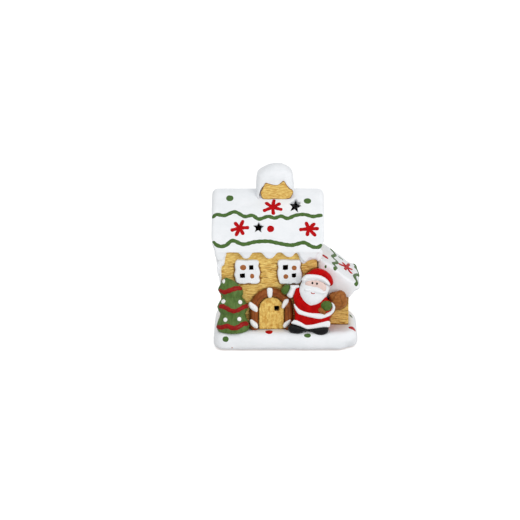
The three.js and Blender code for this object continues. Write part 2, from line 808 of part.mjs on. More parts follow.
function firTree() {
  // Tier outline as [half width, height], both as shares, from the foot to the tip.
  const tiers = [
    [0.62, 0],
    [0.93, 0.04],
    [1, 0.115],
    [0.92, 0.2],
    [0.8, 0.29],
    [0.75, 0.35],
    [0.86, 0.4],
    [0.94, 0.475],
    [0.8, 0.56],
    [0.63, 0.63],
    [0.59, 0.66],
    [0.68, 0.705],
    [0.71, 0.775],
    [0.56, 0.86],
    [0.36, 0.94],
    [0.16, 0.985],
    [0.05, 1],
  ];
  const sides = 20;
  const middleX = houseLeft + tree.x;
  const middleY = houseFront - tree.forward;
  const bottom = baseTop - tree.sink;
  const rings = tiers.map(([half, up]) =>
    Array.from({ length: sides }, (_, i) => {
      const a = (2 * Math.PI * i) / sides;
      return new THREE.Vector3(
        middleX + tree.lean * up ** 6 + half * (tree.width / 2) * Math.cos(a),
        middleY + half * (tree.depth / 2) * Math.sin(a) * (0.7 + 0.3 * (1 - up)),
        bottom + tree.height * up,
      );
    }),
  );
  return loft(rings).subtract(wallsGrown).subtract(bankGrown).subtract(windowsGrown);
}

// The figure in the red coat, moulded to the corner between the front wall and the wing.
// Its outlines are [x, z] from a point on the base under the middle of the coat.

const figureX = houseRight + santa.x;
const figureFront = houseFront - santa.front;
const figureBack = wing.front + 2;
const at = (points) => points.map(([x, z]) => [figureX + x, baseTop + z]);

const coatOutline = at([
  [-14, 39.4],
  [-15.8, 33],
  [-14.6, 22],
  [-17, 10.5],
  [-17.4, 7],
  [-11, 4.6],
  [-2, 2.6],
  [5, 3.2],
  [13, 5.2],
  [16, 8.4],
  [16.6, 20],
  [15, 31],
  [8, 38],
  [-5, 41],
]);
const headOutline = at([
  [-7.4, 49.4],
  [-8.4, 44.6],
  [-7.4, 38.4],
  [-4.8, 29.9],
  [-0.7, 22.4],
  [3.2, 23.6],
  [7.3, 28.7],
  [11.9, 33.4],
  [15, 38.4],
  [15.9, 43],
  [14.6, 47.4],
  [10.4, 50.8],
  [4, 52.4],
  [-3, 52.4],
]);
const faceOutline = at([
  [-5.8, 44.4],
  [-3.2, 46.6],
  [4.4, 46.9],
  [11, 45],
  [13.2, 42],
  [11.4, 39.2],
  [6.4, 39.6],
  [1.2, 38.8],
  [-4, 40.6],
]);
const hatOutline = at([
  [-5.6, 52.9],
  [-1.9, 55.5],
  [5, 57.2],
  [11.9, 55.5],
  [16.5, 51.6],
  [18.9, 46.5],
  [18.6, 42.8],
  [16.5, 41.5],
  [14.8, 43.8],
  [13.4, 47.7],
  [9.6, 50.5],
  [5, 51.5],
  [-4.4, 51.4],
]);
const bootOutline = at([
  [-20.9, 3.6],
  [-18.5, 6.6],
  [-11, 5],
  [-3, 3.6],
  [6, 4.4],
  [14.4, 6],
  [15, 2],
  [10.8, -3.4],
  [5, -3.9],
  [1.2, -2.2],
  [-3, 1.6],
  [-6.5, -0.6],
  [-11.1, -2.8],
  [-16.8, -2.4],
]);

const coatProud = 1.6; // how far the coat lies behind the figure's front plane
const furProud = 0.8; // how far the fur bands stand out from the coat

// The space of a white fur band that sags across the coat from its left height to its right.
function band(left, right, sag, height) {
  const reach = 24;
  const [zLeft, zRight] = [baseTop + left, baseTop + right];
  const zMiddle = (zLeft + zRight) / 2 - sag;
  const shape = new THREE.Shape();
  shape.moveTo(figureX - reach, zLeft);
  shape.quadraticCurveTo(figureX, zMiddle, figureX + reach, zRight);
  shape.lineTo(figureX + reach, zRight + height);
  shape.quadraticCurveTo(figureX, zMiddle + height, figureX - reach, zLeft + height);
  shape.closePath();
  return prism(shape, "y", figureFront - 5, figureBack + 5);
}
const furBands = [band(24.5, 17.5, 6, 4), band(5.4, 5.4, 6, 5)];

// A bun at [x, z] on the figure.
function lump(x, z, rx, rz, turn, front, back, grow) {
  return bun({ x: figureX + x, z: baseTop + z, rx, rz, turn, front: figureFront + front, back }, grow);
}

// A relief of the figure from `proud` behind its front plane.
const moulded = (points, proud, round, grow) =>
  fallingBack(relief(points, figureFront + proud, figureBack, round, grow), figureFront, santa.fallBack);

const coat = (grow = 0) => {
  const proud = moulded(coatOutline, coatProud - furProud, 3.2, furProud + grow);
  const fur = proud.intersect(furBands[0].add(furBands[1]));
  return moulded(coatOutline, coatProud, 3.2, grow).add(fur);
};
const bareHead = (grow = 0) =>
  moulded(headOutline, 0.4, 3.4, grow)
    .add(lump(-2.4, 37.2, 5.2, 2.9, -16, -0.4, figureFront + 9, grow))
    .add(lump(7.6, 35.6, 6.2, 2.8, 14, -0.4, figureFront + 9, grow));
const hat = (grow = 0) => moulded(hatOutline, 0.8, 2, grow);
const face = (grow = 0) => relief(faceOutline, figureFront + 0.9 - grow, figureFront + 4 + grow, 0.8, grow);
const boots = () => moulded(bootOutline, 0, 2.6, 0);
const mittenHolding = (grow = 0) => lump(12.4, 22.8, 5.6, 5.6, 0, -0.6, figureFront + 8 + grow, grow);
const cuffHolding = (grow = 0) => lump(17, 21.6, 4.4, 6.8, -14, 0.8, figureFront + 13 + grow, grow);
const wallFace = houseFront - seam;
const mittenRaised = (grow = 0) => lump(-23.1, 38.2, 3.8, 4.9, -35, 2.4, wallFace, grow);
const cuffRaised = (grow = 0) => lump(-16.9, 36.8, 3.6, 5.6, -18, 1.6, wallFace, grow);
const sackMouth = (grow = 0) => lump(9, 17.6, 3.6, 4.2, -36, -0.4, figureFront + 8 + grow, grow);
const sack = () =>
  lump(22.4, 25.6, 8.6, 8.6, 0, 4.5, figureBack, 0).add(lump(24.2, 33, 4.4, 2.8, 4, 6.5, figureBack, 0));

// The wing's snow where the figure was pressed against it.
const wingSnowGrown = (() => {
  const [left, right] = [wingLeft - 1, wingRight + wing.overRight + 1];
  const over = (x) => outer(x) + 1;
  const shape = new THREE.Shape();
  shape.moveTo(left, wingSnowEdge - 5);
  shape.lineTo(right, wingSnowEdge - 5);
  shape.lineTo(right, over(wingRight));
  shape.lineTo(left, over(left));
  shape.closePath();
  return prism(shape, "y", wing.front - wing.overFront - seam, wing.back);
})();

// Cuts a rough body back to the walls, the windows, the base and the snow that it was pressed against.
const behindFigure = [wallsGrown, wingGrown, bankGrown, wingSnowGrown, windowsGrown, archGrown];
const cutBy = (body, cutters) => cutters.reduce((rest, cutter) => rest.subtract(cutter), body);
const seated = (body, ...inFront) => cutBy(body, [...behindFigure, ...inFront]);

const hands = [cuffHolding(seam), mittenHolding(seam), cuffRaised(seam), sackMouth(seam)];
const figureParts = [
  ["santa_coat", seated(coat(), bareHead(seam), hat(seam), ...hands), coatRed],
  ["santa_head", seated(bareHead(), hat(seam), face(seam)), snowPaint],
  ["santa_face", seated(face(), hat(seam)), skinPaint],
  ["santa_hat", seated(hat()), coatRed],
  ["santa_boots", seated(boots(), coat(seam), archBar(seam)), bootBlack],
  ["mitten_raised", seated(mittenRaised(), archBar(seam)), mittenGreen],
  ["cuff_raised", seated(cuffRaised(), mittenRaised(seam), bareHead(seam)), snowPaint],
  ["mitten_holding", seated(mittenHolding()), mittenGreen],
  ["cuff_holding", seated(cuffHolding(), mittenHolding(seam), bareHead(seam)), snowPaint],
  ["gift_sack", seated(sack(), ...hands, coat(seam), bareHead(seam), hat(seam)), sackBrown],
  ["sack_mouth", seated(sackMouth(), mittenHolding(seam)), sackBrown],
];

// The light unit, drawn about its own axis with z = 0 at the underside of its flange

const plateTop = unit.plate;
const well = {
  mouth: lid.radius + 2 * fit,
  depth: lid.thickness + 1.9,
  radius: cell.radius + 0.5,
  wall: 1.6,
};
const cellZ = well.depth + fit; // the cell rests on the battery cover
const pocketTop = well.depth + cell.thickness + 0.7;
const wellTop = pocketTop + 1.2;
const boardZ = wellTop + fit;
const lampZ = boardZ + board.thickness + fit;
const lugZ = lid.thickness + 0.5;

const atAngle = (degrees, radius) => {
  const a = THREE.MathUtils.degToRad(degrees);
  return [radius * Math.cos(a), radius * Math.sin(a)];
};

// A ring sector about the unit's axis, from `start` degrees over `arc` degrees.
function sector(inner, outer, start, arc, z0, z1) {
  const [a0, a1] = [start, start + arc].map(THREE.MathUtils.degToRad);
  const shape = new THREE.Shape();
  shape.absarc(0, 0, outer, a0, a1);
  shape.absarc(0, 0, inner, a1, a0, true);
  shape.closePath();
  return prism(shape, "z", z0, z1);
}

const screwAngles = [90, 270];
const lugAngles = Array.from({ length: lug.count }, (_, i) => (360 * i) / lug.count + lug.first);

// The slot that the switch knob slides in.
function knobSlot(z0, z1) {
  const half = toggle.knobWidth / 2 + fit;
  const reach = (toggle.knobLength + toggle.travel) / 2 + 2 * fit;
  return box(toggle.radius - half, toggle.radius + half, -reach, reach, z0, z1);
}

function unitBase() {
  const lugReach = well.mouth + lug.reach;
  const insideBarrel = cylinder(unit.barrel - unit.wall - fit, 0, unit.height);
  let body = cylinder(unit.flange, 0, plateTop)
    .add(cylinder(lugReach + well.wall, 0, well.depth + 1.2))
    .add(cylinder(well.radius + well.wall, 0, wellTop));
  for (const angle of screwAngles) {
    const seat = cylinder(screw.seat, 0, plateTop + 2, 20, ...atAngle(angle, screw.at));
    body = body.add(seat.intersect(insideBarrel));
  }
  body = body
    .subtract(cylinder(well.mouth, -1, well.depth))
    .subtract(cylinder(well.radius, 0, pocketTop))
    .subtract(cylinder(6.5, 0, wellTop + 1, 24));
  for (const start of lugAngles) {
    // An upright slot lets the lug in, and a groove above the ledge takes it as the lid turns.
    const [inner, outer, from] = [well.mouth - 1, lugReach + fit, start - lug.slotExtra / 2];
    const slotArc = lug.arc + lug.slotExtra;
    body = body
      .subtract(sector(inner, outer, from + lid.turn, slotArc, -1, well.depth))
      .subtract(sector(inner, outer, from, slotArc + lid.turn, lugZ - fit, well.depth));
  }
  for (const angle of screwAngles) {
    const [x, y] = atAngle(angle, screw.at);
    body = body
      .subtract(cylinder(screw.head + 0.4, -1, screw.headHeight + 0.4, 20, x, y))
      .subtract(cylinder(screw.radius + fit, -1, plateTop + 3, 16, x, y));
  }
  const finger = box(toggle.radius - 2.8, toggle.radius + 2.8, -5, 5, -1, 0.8);
  const clipSlot = box(-well.radius - 0.9, -well.radius + 0.6, -2.2, 2.2, well.depth + 0.6, wellTop + 1);
  return body.subtract(finger).subtract(knobSlot(-1, plateTop + 1)).subtract(clipSlot);
}

function unitHousing() {
  const inner = unit.barrel - unit.wall;
  const inside = cylinder(inner, 0, unit.height - unit.wall);
  let body = cylinder(unit.barrel, plateTop + fit, unit.height).subtract(inside);
  for (const angle of screwAngles) {
    const [x, y] = atAngle(angle, screw.at);
    const boss = cylinder(screw.seat, plateTop + 2 + fit, unit.height - unit.wall / 2, 20, x, y);
    const pilot = cylinder(screw.radius + fit, 0, screw.headHeight + screw.length + 1, 16, x, y);
    body = body.add(boss).subtract(pilot);
  }
  return body.subtract(cylinder(lamp.radius + lamp.rim + fit, unit.height - 3, unit.height + 1, 24));
}

function gripRing() {
  const [r0, r1] = [unit.barrel + fit, unit.barrel + grip.thickness];
  const [z0, z1] = [plateTop + fit, plateTop + base.floor - 0.6];
  const profile = [
    [r0, z0],
    [r1, z0],
  ];
  for (let i = 0; i < grip.ribs; i++) {
    const middle = z0 + ((z1 - z0) * (i + 0.5)) / grip.ribs;
    profile.push([r1, middle - 0.6], [r1 + grip.rib, middle], [r1, middle + 0.6]);
  }
  profile.push([r1, z1], [r0, z1], [r0, z0]);
  return turned(profile);
}

function circuitBoard() {
  let body = cylinder(board.radius, boardZ, boardZ + board.thickness);
  const notch = (angle) => cylinder(screw.seat + 0.4, 0, unit.height, 20, ...atAngle(angle, screw.at));
  for (const angle of screwAngles) body = body.subtract(notch(angle));
  return body;
}

function ledLamp() {
  const rim = lamp.radius + lamp.rim;
  const domeZ = lampZ + lamp.height - lamp.radius;
  const profile = [
    [0, lampZ],
    [rim, lampZ],
    [rim, lampZ + lamp.rimHeight],
    [lamp.radius, lampZ + lamp.rimHeight],
    [lamp.radius, domeZ],
  ];
  for (let k = 1; k <= 5; k++) {
    const a = (Math.PI / 2) * (k / 5);
    profile.push([k === 5 ? 0 : lamp.radius * Math.cos(a), domeZ + lamp.radius * Math.sin(a)]);
  }
  return turned(profile, 20);
}

function resistorBody() {
  const z = lampZ + resistorSize.radius + fit;
  const ends = [-1, 1].map((side) => {
    const x = (side * resistorSize.length) / 2;
    return box(x - 0.7, x + 0.7, resistorSize.y - 0.35, resistorSize.y + 0.35, lampZ, z);
  });
  const { radius, length } = resistorSize;
  const barrel = new THREE.CapsuleGeometry(radius, length - 2 * radius, 3, 12);
  return solid(barrel.rotateZ(Math.PI / 2).translate(0, resistorSize.y, z)).add(ends[0]).add(ends[1]);
}

function coinCell() {
  const z = cellZ;
  const lip = 0.5;
  return turned([
    [0, z],
    [cell.radius - lip, z],
    [cell.radius, z + lip],
    [cell.radius, z + cell.thickness - 0.7],
    [cell.radius - 1.2, z + cell.thickness - 0.7],
    [cell.radius - 1.4, z + cell.thickness],
    [0, z + cell.thickness],
  ]);
}

// A leaf of spring steel: two legs on the board's underside and an arched tongue on the cell.
function contactSpring() {
  const [low, high] = [cellZ + cell.thickness + fit, boardZ - fit];
  const t = 0.35;
  const shape = new THREE.Shape();
  shape.moveTo(-5.6, high - t);
  shape.lineTo(-3.4, high - t);
  shape.quadraticCurveTo(0, low - (high - low - t), 3.4, high - t);
  shape.lineTo(5.6, high - t);
  shape.lineTo(5.6, high);
  shape.lineTo(3.2, high);
  shape.quadraticCurveTo(0, low - (high - low) + 2 * t, -3.2, high);
  shape.lineTo(-5.6, high);
  shape.closePath();
  return prism(shape, "y", -1.6, 1.6).subtract(box(-8, 8, -3, 3, low - 3, low));
}

function positiveClip() {
  const x = -well.radius - 0.6;
  const upright = box(x, x + 0.4, -1.9, 1.9, well.depth + 0.9, boardZ - fit);
  const toe = box(x, x + 0.95, -1.2, 1.2, well.depth + 1.2, well.depth + 2.2);
  return upright.add(toe).subtract(cylinder(cell.radius + fit, 0, 20));
}

const toggleZ = plateTop + fit;
function switchBody() {
  const [hw, hl] = [toggle.width / 2, toggle.length / 2];
  const can = box(toggle.radius - hw, toggle.radius + hw, -hl, hl, toggleZ, toggleZ + toggle.height);
  return can.subtract(knobSlot(0, toggleZ + toggle.knobDepth));
}

function switchKnob() {
  const middle = -toggle.travel / 2;
  const [hw, hl] = [toggle.knobWidth / 2, toggle.knobLength / 2];
  const top = toggleZ + toggle.knobDepth - fit;
  let body = box(toggle.radius - hw, toggle.radius + hw, middle - hl, middle + hl, fit, top);
  for (const step of [-1, 0, 1]) {
    const y = middle + step * toggle.ridge;
    body = body.subtract(box(toggle.radius - 2 * hw, toggle.radius + 2 * hw, y - 0.15, y + 0.15, 0, 0.4));
  }
  return body;
}

function batteryCover() {
  const lugReach = well.mouth + lug.reach - fit;
  let body = cylinder(lid.radius, 0, lid.thickness).add(cylinder(well.radius - 0.3, 0, well.depth - fit));
  for (const start of lugAngles)
    body = body.add(sector(well.radius - 1, lugReach, start, lug.arc, lugZ, lugZ + lug.height));
  const coinSlot = box(-7, 7, -0.9, 0.9, -1, 1);
  const hollow = cylinder(well.radius - 0.3 - lid.plugWall, lid.thickness, well.depth + 1);
  return body.subtract(coinSlot).subtract(hollow);
}

function unitScrew(angle) {
  const [x, y] = atAngle(angle, screw.at);
  const headZ = 0.3;
  const body = cylinder(screw.head, headZ, headZ + screw.headHeight, 20, x, y).add(
    cylinder(screw.radius, headZ, headZ + screw.headHeight + screw.length, 14, x, y),
  );
  const blade = (dx, dy) => box(x - dx, x + dx, y - dy, y + dy, 0, headZ + 0.7);
  return body.subtract(blade(1.3, 0.25)).subtract(blade(0.25, 1.3));
}

// The whole decoration

const decoration = new THREE.Group();
const clay = new THREE.Group();
clay.add(
  part("base_plinth", basePlinth(), snowPaint),
  part("house_walls", houseWalls(), gingerPaint),
  part("main_roof", mainRoof(), snowPaint),
  part("chimney_stack", chimneyStack().subtract(roofGrown), gingerPaint),
  part("chimney_snow", chimneySnow(), snowPaint),
  part("wing_walls", wingWalls(), gingerPaint),
  part("wing_roof", wingRoofBody, snowPaint),
  part("window_left", windowRelief(-1), snowPaint),
  part("window_right", windowRelief(1), snowPaint),
  part("door_panel", doorPanel(), gingerPaint),
  part("door_arch", doorArch(), chocolatePaint),
  part("fir_tree", firTree(), firGreen),
);
icingBars.forEach((one, i) => {
  clay.add(part(`icing_bar_${i + 1}`, icingBarSolid(one), icingPaint));
});
for (const [name, body, finish] of figureParts) clay.add(part(name, body, finish));

const pads = new THREE.Group();
const [padX, padY] = [base.width / 2 - pad.inset, base.depth / 2 - pad.inset];
[
  ["front_left", -padX, -padY],
  ["front_right", padX, -padY],
  ["back_right", padX, padY],
  ["back_left", -padX, padY],
].forEach(([corner, x, y]) => {
  const disc = part(`pad_${corner}`, cylinder(pad.radius, 0, pad.thickness, 20), feltGrey);
  disc.position.set(x, y, 0);
  pads.add(disc);
});

const lightUnit = new THREE.Group();
lightUnit.position.set(unit.x, 0, footZ + seam);
lightUnit.add(
  part("unit_base", unitBase(), whitePlastic),
  part("unit_housing", unitHousing(), whitePlastic),
  part("grip_ring", gripRing(), siliconeGrey),
  part("circuit_board", circuitBoard(), greenBoard),
  part("led_lamp", ledLamp(), warmEpoxy),
  part("resistor", resistorBody(), resistorBeige),
  part("coin_cell", coinCell(), nickel),
  part("contact_spring", contactSpring(), springSteel),
  part("positive_clip", positiveClip(), springSteel),
  part("switch_body", switchBody(), nickel),
  part("switch_knob", switchKnob(), blackPlastic),
  part("battery_cover", batteryCover(), whitePlastic),
);
screwAngles.forEach((angle, i) => {
  lightUnit.add(part(`unit_screw_${i + 1}`, unitScrew(angle), nickel));
});

// The whole stands centred over the origin from its widest point on the left to its widest on the right.
const leftmost = Math.min(roofLeft, -base.width / 2);
const rightmost = Math.max(wingRight + wing.overRight, base.width / 2);
decoration.position.x = -(leftmost + rightmost) / 2;
decoration.add(clay, pads, lightUnit);

export default decoration;
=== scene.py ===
"""A hand-painted clay gingerbread house with a lamp unit in its base, dressed over its CAD frame."""
import math
import random

import bpy
import numpy as np
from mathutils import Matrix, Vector
from mathutils.bvhtree import BVHTree


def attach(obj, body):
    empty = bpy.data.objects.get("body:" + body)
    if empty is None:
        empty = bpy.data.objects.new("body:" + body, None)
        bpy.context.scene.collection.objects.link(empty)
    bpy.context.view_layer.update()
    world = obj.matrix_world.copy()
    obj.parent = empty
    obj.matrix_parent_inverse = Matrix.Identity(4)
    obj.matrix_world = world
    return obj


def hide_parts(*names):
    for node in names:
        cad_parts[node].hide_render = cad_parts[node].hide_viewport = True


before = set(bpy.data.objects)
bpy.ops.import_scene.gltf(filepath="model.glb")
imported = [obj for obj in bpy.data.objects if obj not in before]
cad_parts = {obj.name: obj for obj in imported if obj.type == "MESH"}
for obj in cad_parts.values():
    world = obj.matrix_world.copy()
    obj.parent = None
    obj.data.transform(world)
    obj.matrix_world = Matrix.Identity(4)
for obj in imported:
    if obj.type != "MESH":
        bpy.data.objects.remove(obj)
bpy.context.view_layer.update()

MM = 0.001
random.seed(24)


# Camera: straight on, 15 degrees above the horizon, with a long lens as for a catalogue picture.

PHOTO_PIXELS = 520
SENSOR = 36
SEEN_WIDTH = 457.6 * MM
CAMERA_DISTANCE = 2.4
LENS = SENSOR * CAMERA_DISTANCE / SEEN_WIDTH
ELEVATION = math.radians(15)
AIM = Vector((0, 0, 69.65 * MM))
SHIFT_X = -0.0502

RIGHT = Vector((1, 0, 0))
look = Vector((0, math.cos(ELEVATION), -math.sin(ELEVATION)))
look_up = Vector((0, math.sin(ELEVATION), math.cos(ELEVATION)))
camera_place = AIM - look * CAMERA_DISTANCE

# Forms are modelled in one of two planes, each given by its way out and its way up.
TO_VIEWER = (-look, look_up)
TO_FRONT = (Vector((0, -1, 0)), Vector((0, 0, 1)))

bpy.ops.object.select_all(action="DESELECT")
bpy.ops.object.camera_add(location=camera_place, rotation=(math.radians(90) - ELEVATION, 0, 0))
camera = bpy.context.object
camera.name = "catalogue_camera"
camera.data.lens = LENS
camera.data.sensor_width = SENSOR
camera.data.shift_x = SHIFT_X
camera.data.clip_start = 0.05
camera.data.clip_end = 50
bpy.context.scene.camera = camera

# Places on the painted front are given in an enlargement of the photograph's middle.
ENLARGED = 7.65
ENLARGED_FROM = (200, 155)


def sight_line(u, v):
    """The camera's line of sight through a place in the enlarged photograph."""
    across = (ENLARGED_FROM[0] + u / ENLARGED) / PHOTO_PIXELS - 0.5 + SHIFT_X
    down = (ENLARGED_FROM[1] + v / ENLARGED) / PHOTO_PIXELS - 0.5
    direction = look * LENS + RIGHT * across * SENSOR - look_up * down * SENSOR
    return camera_place, direction.normalized()


# Mesh helpers

# Corners of the CAD's loose triangles that are this close, in millimetres, are one corner.
SAME_SPOT = 0.002


def pick(*pieces):
    """Selects these pieces alone, and makes the first one active."""
    bpy.ops.object.select_all(action="DESELECT")
    for piece in pieces:
        piece.select_set(True)
    bpy.context.view_layer.objects.active = pieces[0]


def in_edit_mode(piece, *steps):
    """Runs these operators on all of the piece's faces."""
    pick(piece)
    bpy.ops.object.mode_set(mode="EDIT")
    bpy.ops.mesh.select_all(action="SELECT")
    for operator, settings in steps:
        operator(**settings)
    bpy.ops.object.mode_set(mode="OBJECT")


def finish_with(piece, kind, **settings):
    """Adds one modifier to the piece and applies it."""
    pick(piece)
    modifier = piece.modifiers.new(kind.lower(), kind)
    for name, value in settings.items():
        setattr(modifier, name, value)
    bpy.ops.object.modifier_apply(modifier=modifier.name)


def joined(name, pieces):
    """Makes these pieces one, with a new name."""
    pick(*pieces)
    if len(pieces) > 1:
        bpy.ops.object.join()
    piece = bpy.context.object
    piece.name = name
    return piece


def lumpy(piece, lumps, size):
    """Uneven clay: gentle swellings over the whole piece, in millimetres."""
    clouds = bpy.data.textures.new(piece.name + "_lumps", "CLOUDS")
    clouds.noise_scale = size * MM
    finish_with(piece, "DISPLACE", texture=clouds, strength=lumps * MM, mid_level=0.5, texture_coords="LOCAL")


def ramp(values, start, end):
    """Goes from 0 to 1 between two places, and is level before and after them."""
    return np.clip((values - start) / (end - start), 0, 1)


def disc(name, corners):
    """A flat disc with its rim on these corners, which are in millimetres."""
    bpy.ops.object.select_all(action="DESELECT")
    bpy.ops.mesh.primitive_circle_add(vertices=len(corners), radius=1, fill_type="NGON")
    piece = bpy.context.object
    piece.name = name
    for vertex, corner in zip(piece.data.vertices, corners):
        vertex.co = Vector(corner) * MM
    return piece


def drawn_out(piece, way, distance):
    """Extrudes a flat disc into a closed block, with its faces turned outwards."""
    in_edit_mode(
        piece,
        (bpy.ops.mesh.extrude_region_move, {"TRANSFORM_OT_translate": {"value": way * distance * MM}}),
        (bpy.ops.mesh.select_all, {"action": "SELECT"}),
        (bpy.ops.mesh.normals_make_consistent, {"inside": False}))
    return piece


def cast_from(node, name, grain, smoothing, lumps=0.0, lump_size=9.0, core=None):
    """Slip-cast clay over a CAD solid: its merged copy, remeshed finely, with all edges washed soft.

    The grain is the size of a voxel in millimetres, and the smoothing a number of rounds. A core is a second
    solid that fills the first one out where its wall is thin.
    """
    piece = bpy.data.objects.new(name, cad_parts[node].data.copy())
    bpy.context.scene.collection.objects.link(piece)
    if core:
        filling = bpy.data.objects.new(name + "_core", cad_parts[core].data.copy())
        bpy.context.scene.collection.objects.link(filling)
        piece = joined(name, [piece, filling])
    piece.data.materials.clear()
    in_edit_mode(piece, (bpy.ops.mesh.remove_doubles, {"threshold": SAME_SPOT * MM}))
    pick(piece)
    if piece.data.has_custom_normals:
        bpy.ops.mesh.customdata_custom_splitnormals_clear()
    finish_with(piece, "REMESH", mode="VOXEL", voxel_size=grain * MM, adaptivity=0)
    finish_with(piece, "SMOOTH", factor=0.5, iterations=smoothing)
    if lumps:
        lumpy(piece, lumps, lump_size)
    bpy.ops.object.shade_smooth()
    return piece


def places(piece):
    """The piece's vertices and their normals, in millimetres, as two arrays."""
    count = len(piece.data.vertices)
    spots = np.empty(count * 3)
    normals = np.empty(count * 3)
    piece.data.vertices.foreach_get("co", spots)
    piece.data.vertex_normals.foreach_get("vector", normals)
    return spots.reshape(-1, 3) / MM, normals.reshape(-1, 3)


def move_to(piece, spots):
    """Moves the piece's vertices to these places, in millimetres."""
    piece.data.vertices.foreach_set("co", (np.asarray(spots) * MM).ravel())
    piece.data.update()


def surface(*pieces):
    """A search tree over the faces of these pieces."""
    corners = []
    faces = []
    for piece in pieces:
        start = len(corners)
        corners += [vertex.co.copy() for vertex in piece.data.vertices]
        faces += [[start + i for i in polygon.vertices] for polygon in piece.data.polygons]
    return BVHTree.FromPolygons(corners, faces)


def distance_to(spots, tree, limit):
    """How far each spot is from the surface, in millimetres, up to the limit."""
    found = [tree.find_nearest(Vector(spot) * MM, limit * MM)[3] for spot in spots]
    return np.array([limit if gap is None else gap / MM for gap in found])


def keep_wash_and_shade(piece, amount):
    """Stores how much brown wash lies on each vertex, from 0 to 1. In the sack's folds it is painted shade.
    """
    wash = piece.data.attributes.new("wash", "FLOAT", "POINT")
    wash.data.foreach_set("value", np.clip(amount, 0, 1))


def smooth_path(points, step, closed=False):
    """A smooth curve through the points, cut into even steps, and the length up to each."""
    points = np.array([tuple(point) for point in points], dtype=float)
    if closed:
        padded = np.vstack([points[-1], points, points[:2]])
    else:
        padded = np.vstack([2 * points[0] - points[1], points, 2 * points[-1] - points[-2]])
    curve = []
    for a, b, c, d in zip(padded, padded[1:], padded[2:], padded[3:]):
        for t in np.linspace(0, 1, 9)[:-1]:
            curve.append(b + (c - a) * t / 2 + (2 * a - 5 * b + 4 * c - d) * t ** 2 / 2
                         + (3 * b - a - 3 * c + d) * t ** 3 / 2)
    curve = np.array(curve + [padded[-2]])
    lengths = np.concatenate([[0], np.cumsum(np.linalg.norm(np.diff(curve, axis=0), axis=1))])
    even = np.linspace(0, lengths[-1], max(5, int(lengths[-1] / step) + 1))
    path = np.column_stack([np.interp(even, lengths, column) for column in curve.T])
    return (path[:-1], even[:-1]) if closed else (path, even)


# Materials


def linear(code):
    """An sRGB hex colour as the linear colour that a shader takes."""
    parts = [int(code[i:i + 2], 16) / 255 for i in (1, 3, 5)]
    return [c / 12.92 if c <= 0.04045 else ((c + 0.055) / 1.055) ** 2.4 for c in parts] + [1.0]


def add(tree, kind, settings=None, sockets=None):
    """Adds a node. A socket is given a value, or another node's output to link."""
    made = tree.nodes.new(kind)
    for name, value in (settings or {}).items():
        setattr(made, name, value)
    for name, value in (sockets or {}).items():
        if isinstance(value, bpy.types.NodeSocket):
            tree.links.new(value, made.inputs[name])
        else:
            made.inputs[name].default_value = value
    return made


def material(name):
    """A new material with an empty node tree."""
    made = bpy.data.materials.new(name)
    made.use_nodes = True
    tree = made.node_tree
    tree.nodes.clear()
    return made, tree


# Acrylic paint's index of refraction, and the size of its fine grain in millimetres, coarse enough to show.
PAINT_IOR = 1.48
PAINT_GRAIN = 0.7


def painted_clay(name, pale, deep, roughness, streak, relief, stain=None, gloss=0.14):
    """Acrylic paint brushed over fired clay.

    The two colours run into each other in brush streaks, whose length along X, Y and Z is in millimetres.
    A stain colour gathers where the piece's wash attribute says; in the sack's folds it is painted shade.
    """
    made, tree = material(name)
    place = add(tree, "ShaderNodeTexCoord").outputs["Object"]
    scale = [1 / (length * MM) for length in streak]
    brushed = add(tree, "ShaderNodeMapping", sockets={"Vector": place, "Scale": scale})
    streaks = add(tree, "ShaderNodeTexNoise", sockets={
        "Vector": brushed.outputs[0], "Scale": 1.0, "Detail": 4.0, "Roughness": 0.6, "Distortion": 0.4})
    spread = add(tree, "ShaderNodeMapRange", sockets={
        "Value": streaks.outputs[0], "From Min": 0.34, "From Max": 0.66})
    colour = add(tree, "ShaderNodeMix", {"data_type": "RGBA"}, {
        0: spread.outputs[0], 6: linear(pale), 7: linear(deep)}).outputs[2]
    if stain:
        wash = add(tree, "ShaderNodeAttribute", {"attribute_name": "wash"})
        broken = add(tree, "ShaderNodeMath", {"operation": "MULTIPLY_ADD"}, {
            0: streaks.outputs[0], 1: 0.7, 2: -0.35})
        uneven = add(tree, "ShaderNodeMath", {"operation": "ADD"}, {
            0: wash.outputs["Fac"], 1: broken.outputs[0]})
        held = add(tree, "ShaderNodeMath", {"operation": "MULTIPLY", "use_clamp": True}, {
            0: wash.outputs["Fac"], 1: 1.6})
        gathered = add(tree, "ShaderNodeMath", {"operation": "MULTIPLY", "use_clamp": True}, {
            0: uneven.outputs[0], 1: held.outputs[0]})
        colour = add(tree, "ShaderNodeMix", {"data_type": "RGBA"}, {
            0: gathered.outputs[0], 6: colour, 7: linear(stain)}).outputs[2]
    fine = add(tree, "ShaderNodeTexNoise", sockets={
        "Vector": place, "Scale": 1 / (PAINT_GRAIN * MM), "Detail": 3.0, "Roughness": 0.55})
    height = add(tree, "ShaderNodeMath", {"operation": "ADD"}, {
        0: fine.outputs[0], 1: streaks.outputs[0]})
    bump = add(tree, "ShaderNodeBump", sockets={
        "Height": height.outputs[0], "Distance": relief * MM, "Strength": 1.0})
    sheen = add(tree, "ShaderNodeMapRange", sockets={
        "Value": fine.outputs[0], "To Min": roughness - 0.07, "To Max": roughness + 0.07})
    shader = add(tree, "ShaderNodeBsdfPrincipled", sockets={
        "Base Color": colour, "Roughness": sheen.outputs[0], "Normal": bump.outputs[0],
        "IOR": PAINT_IOR, "Specular IOR Level": gloss})
    add(tree, "ShaderNodeOutputMaterial", sockets={"Surface": shader.outputs[0]})
    return made


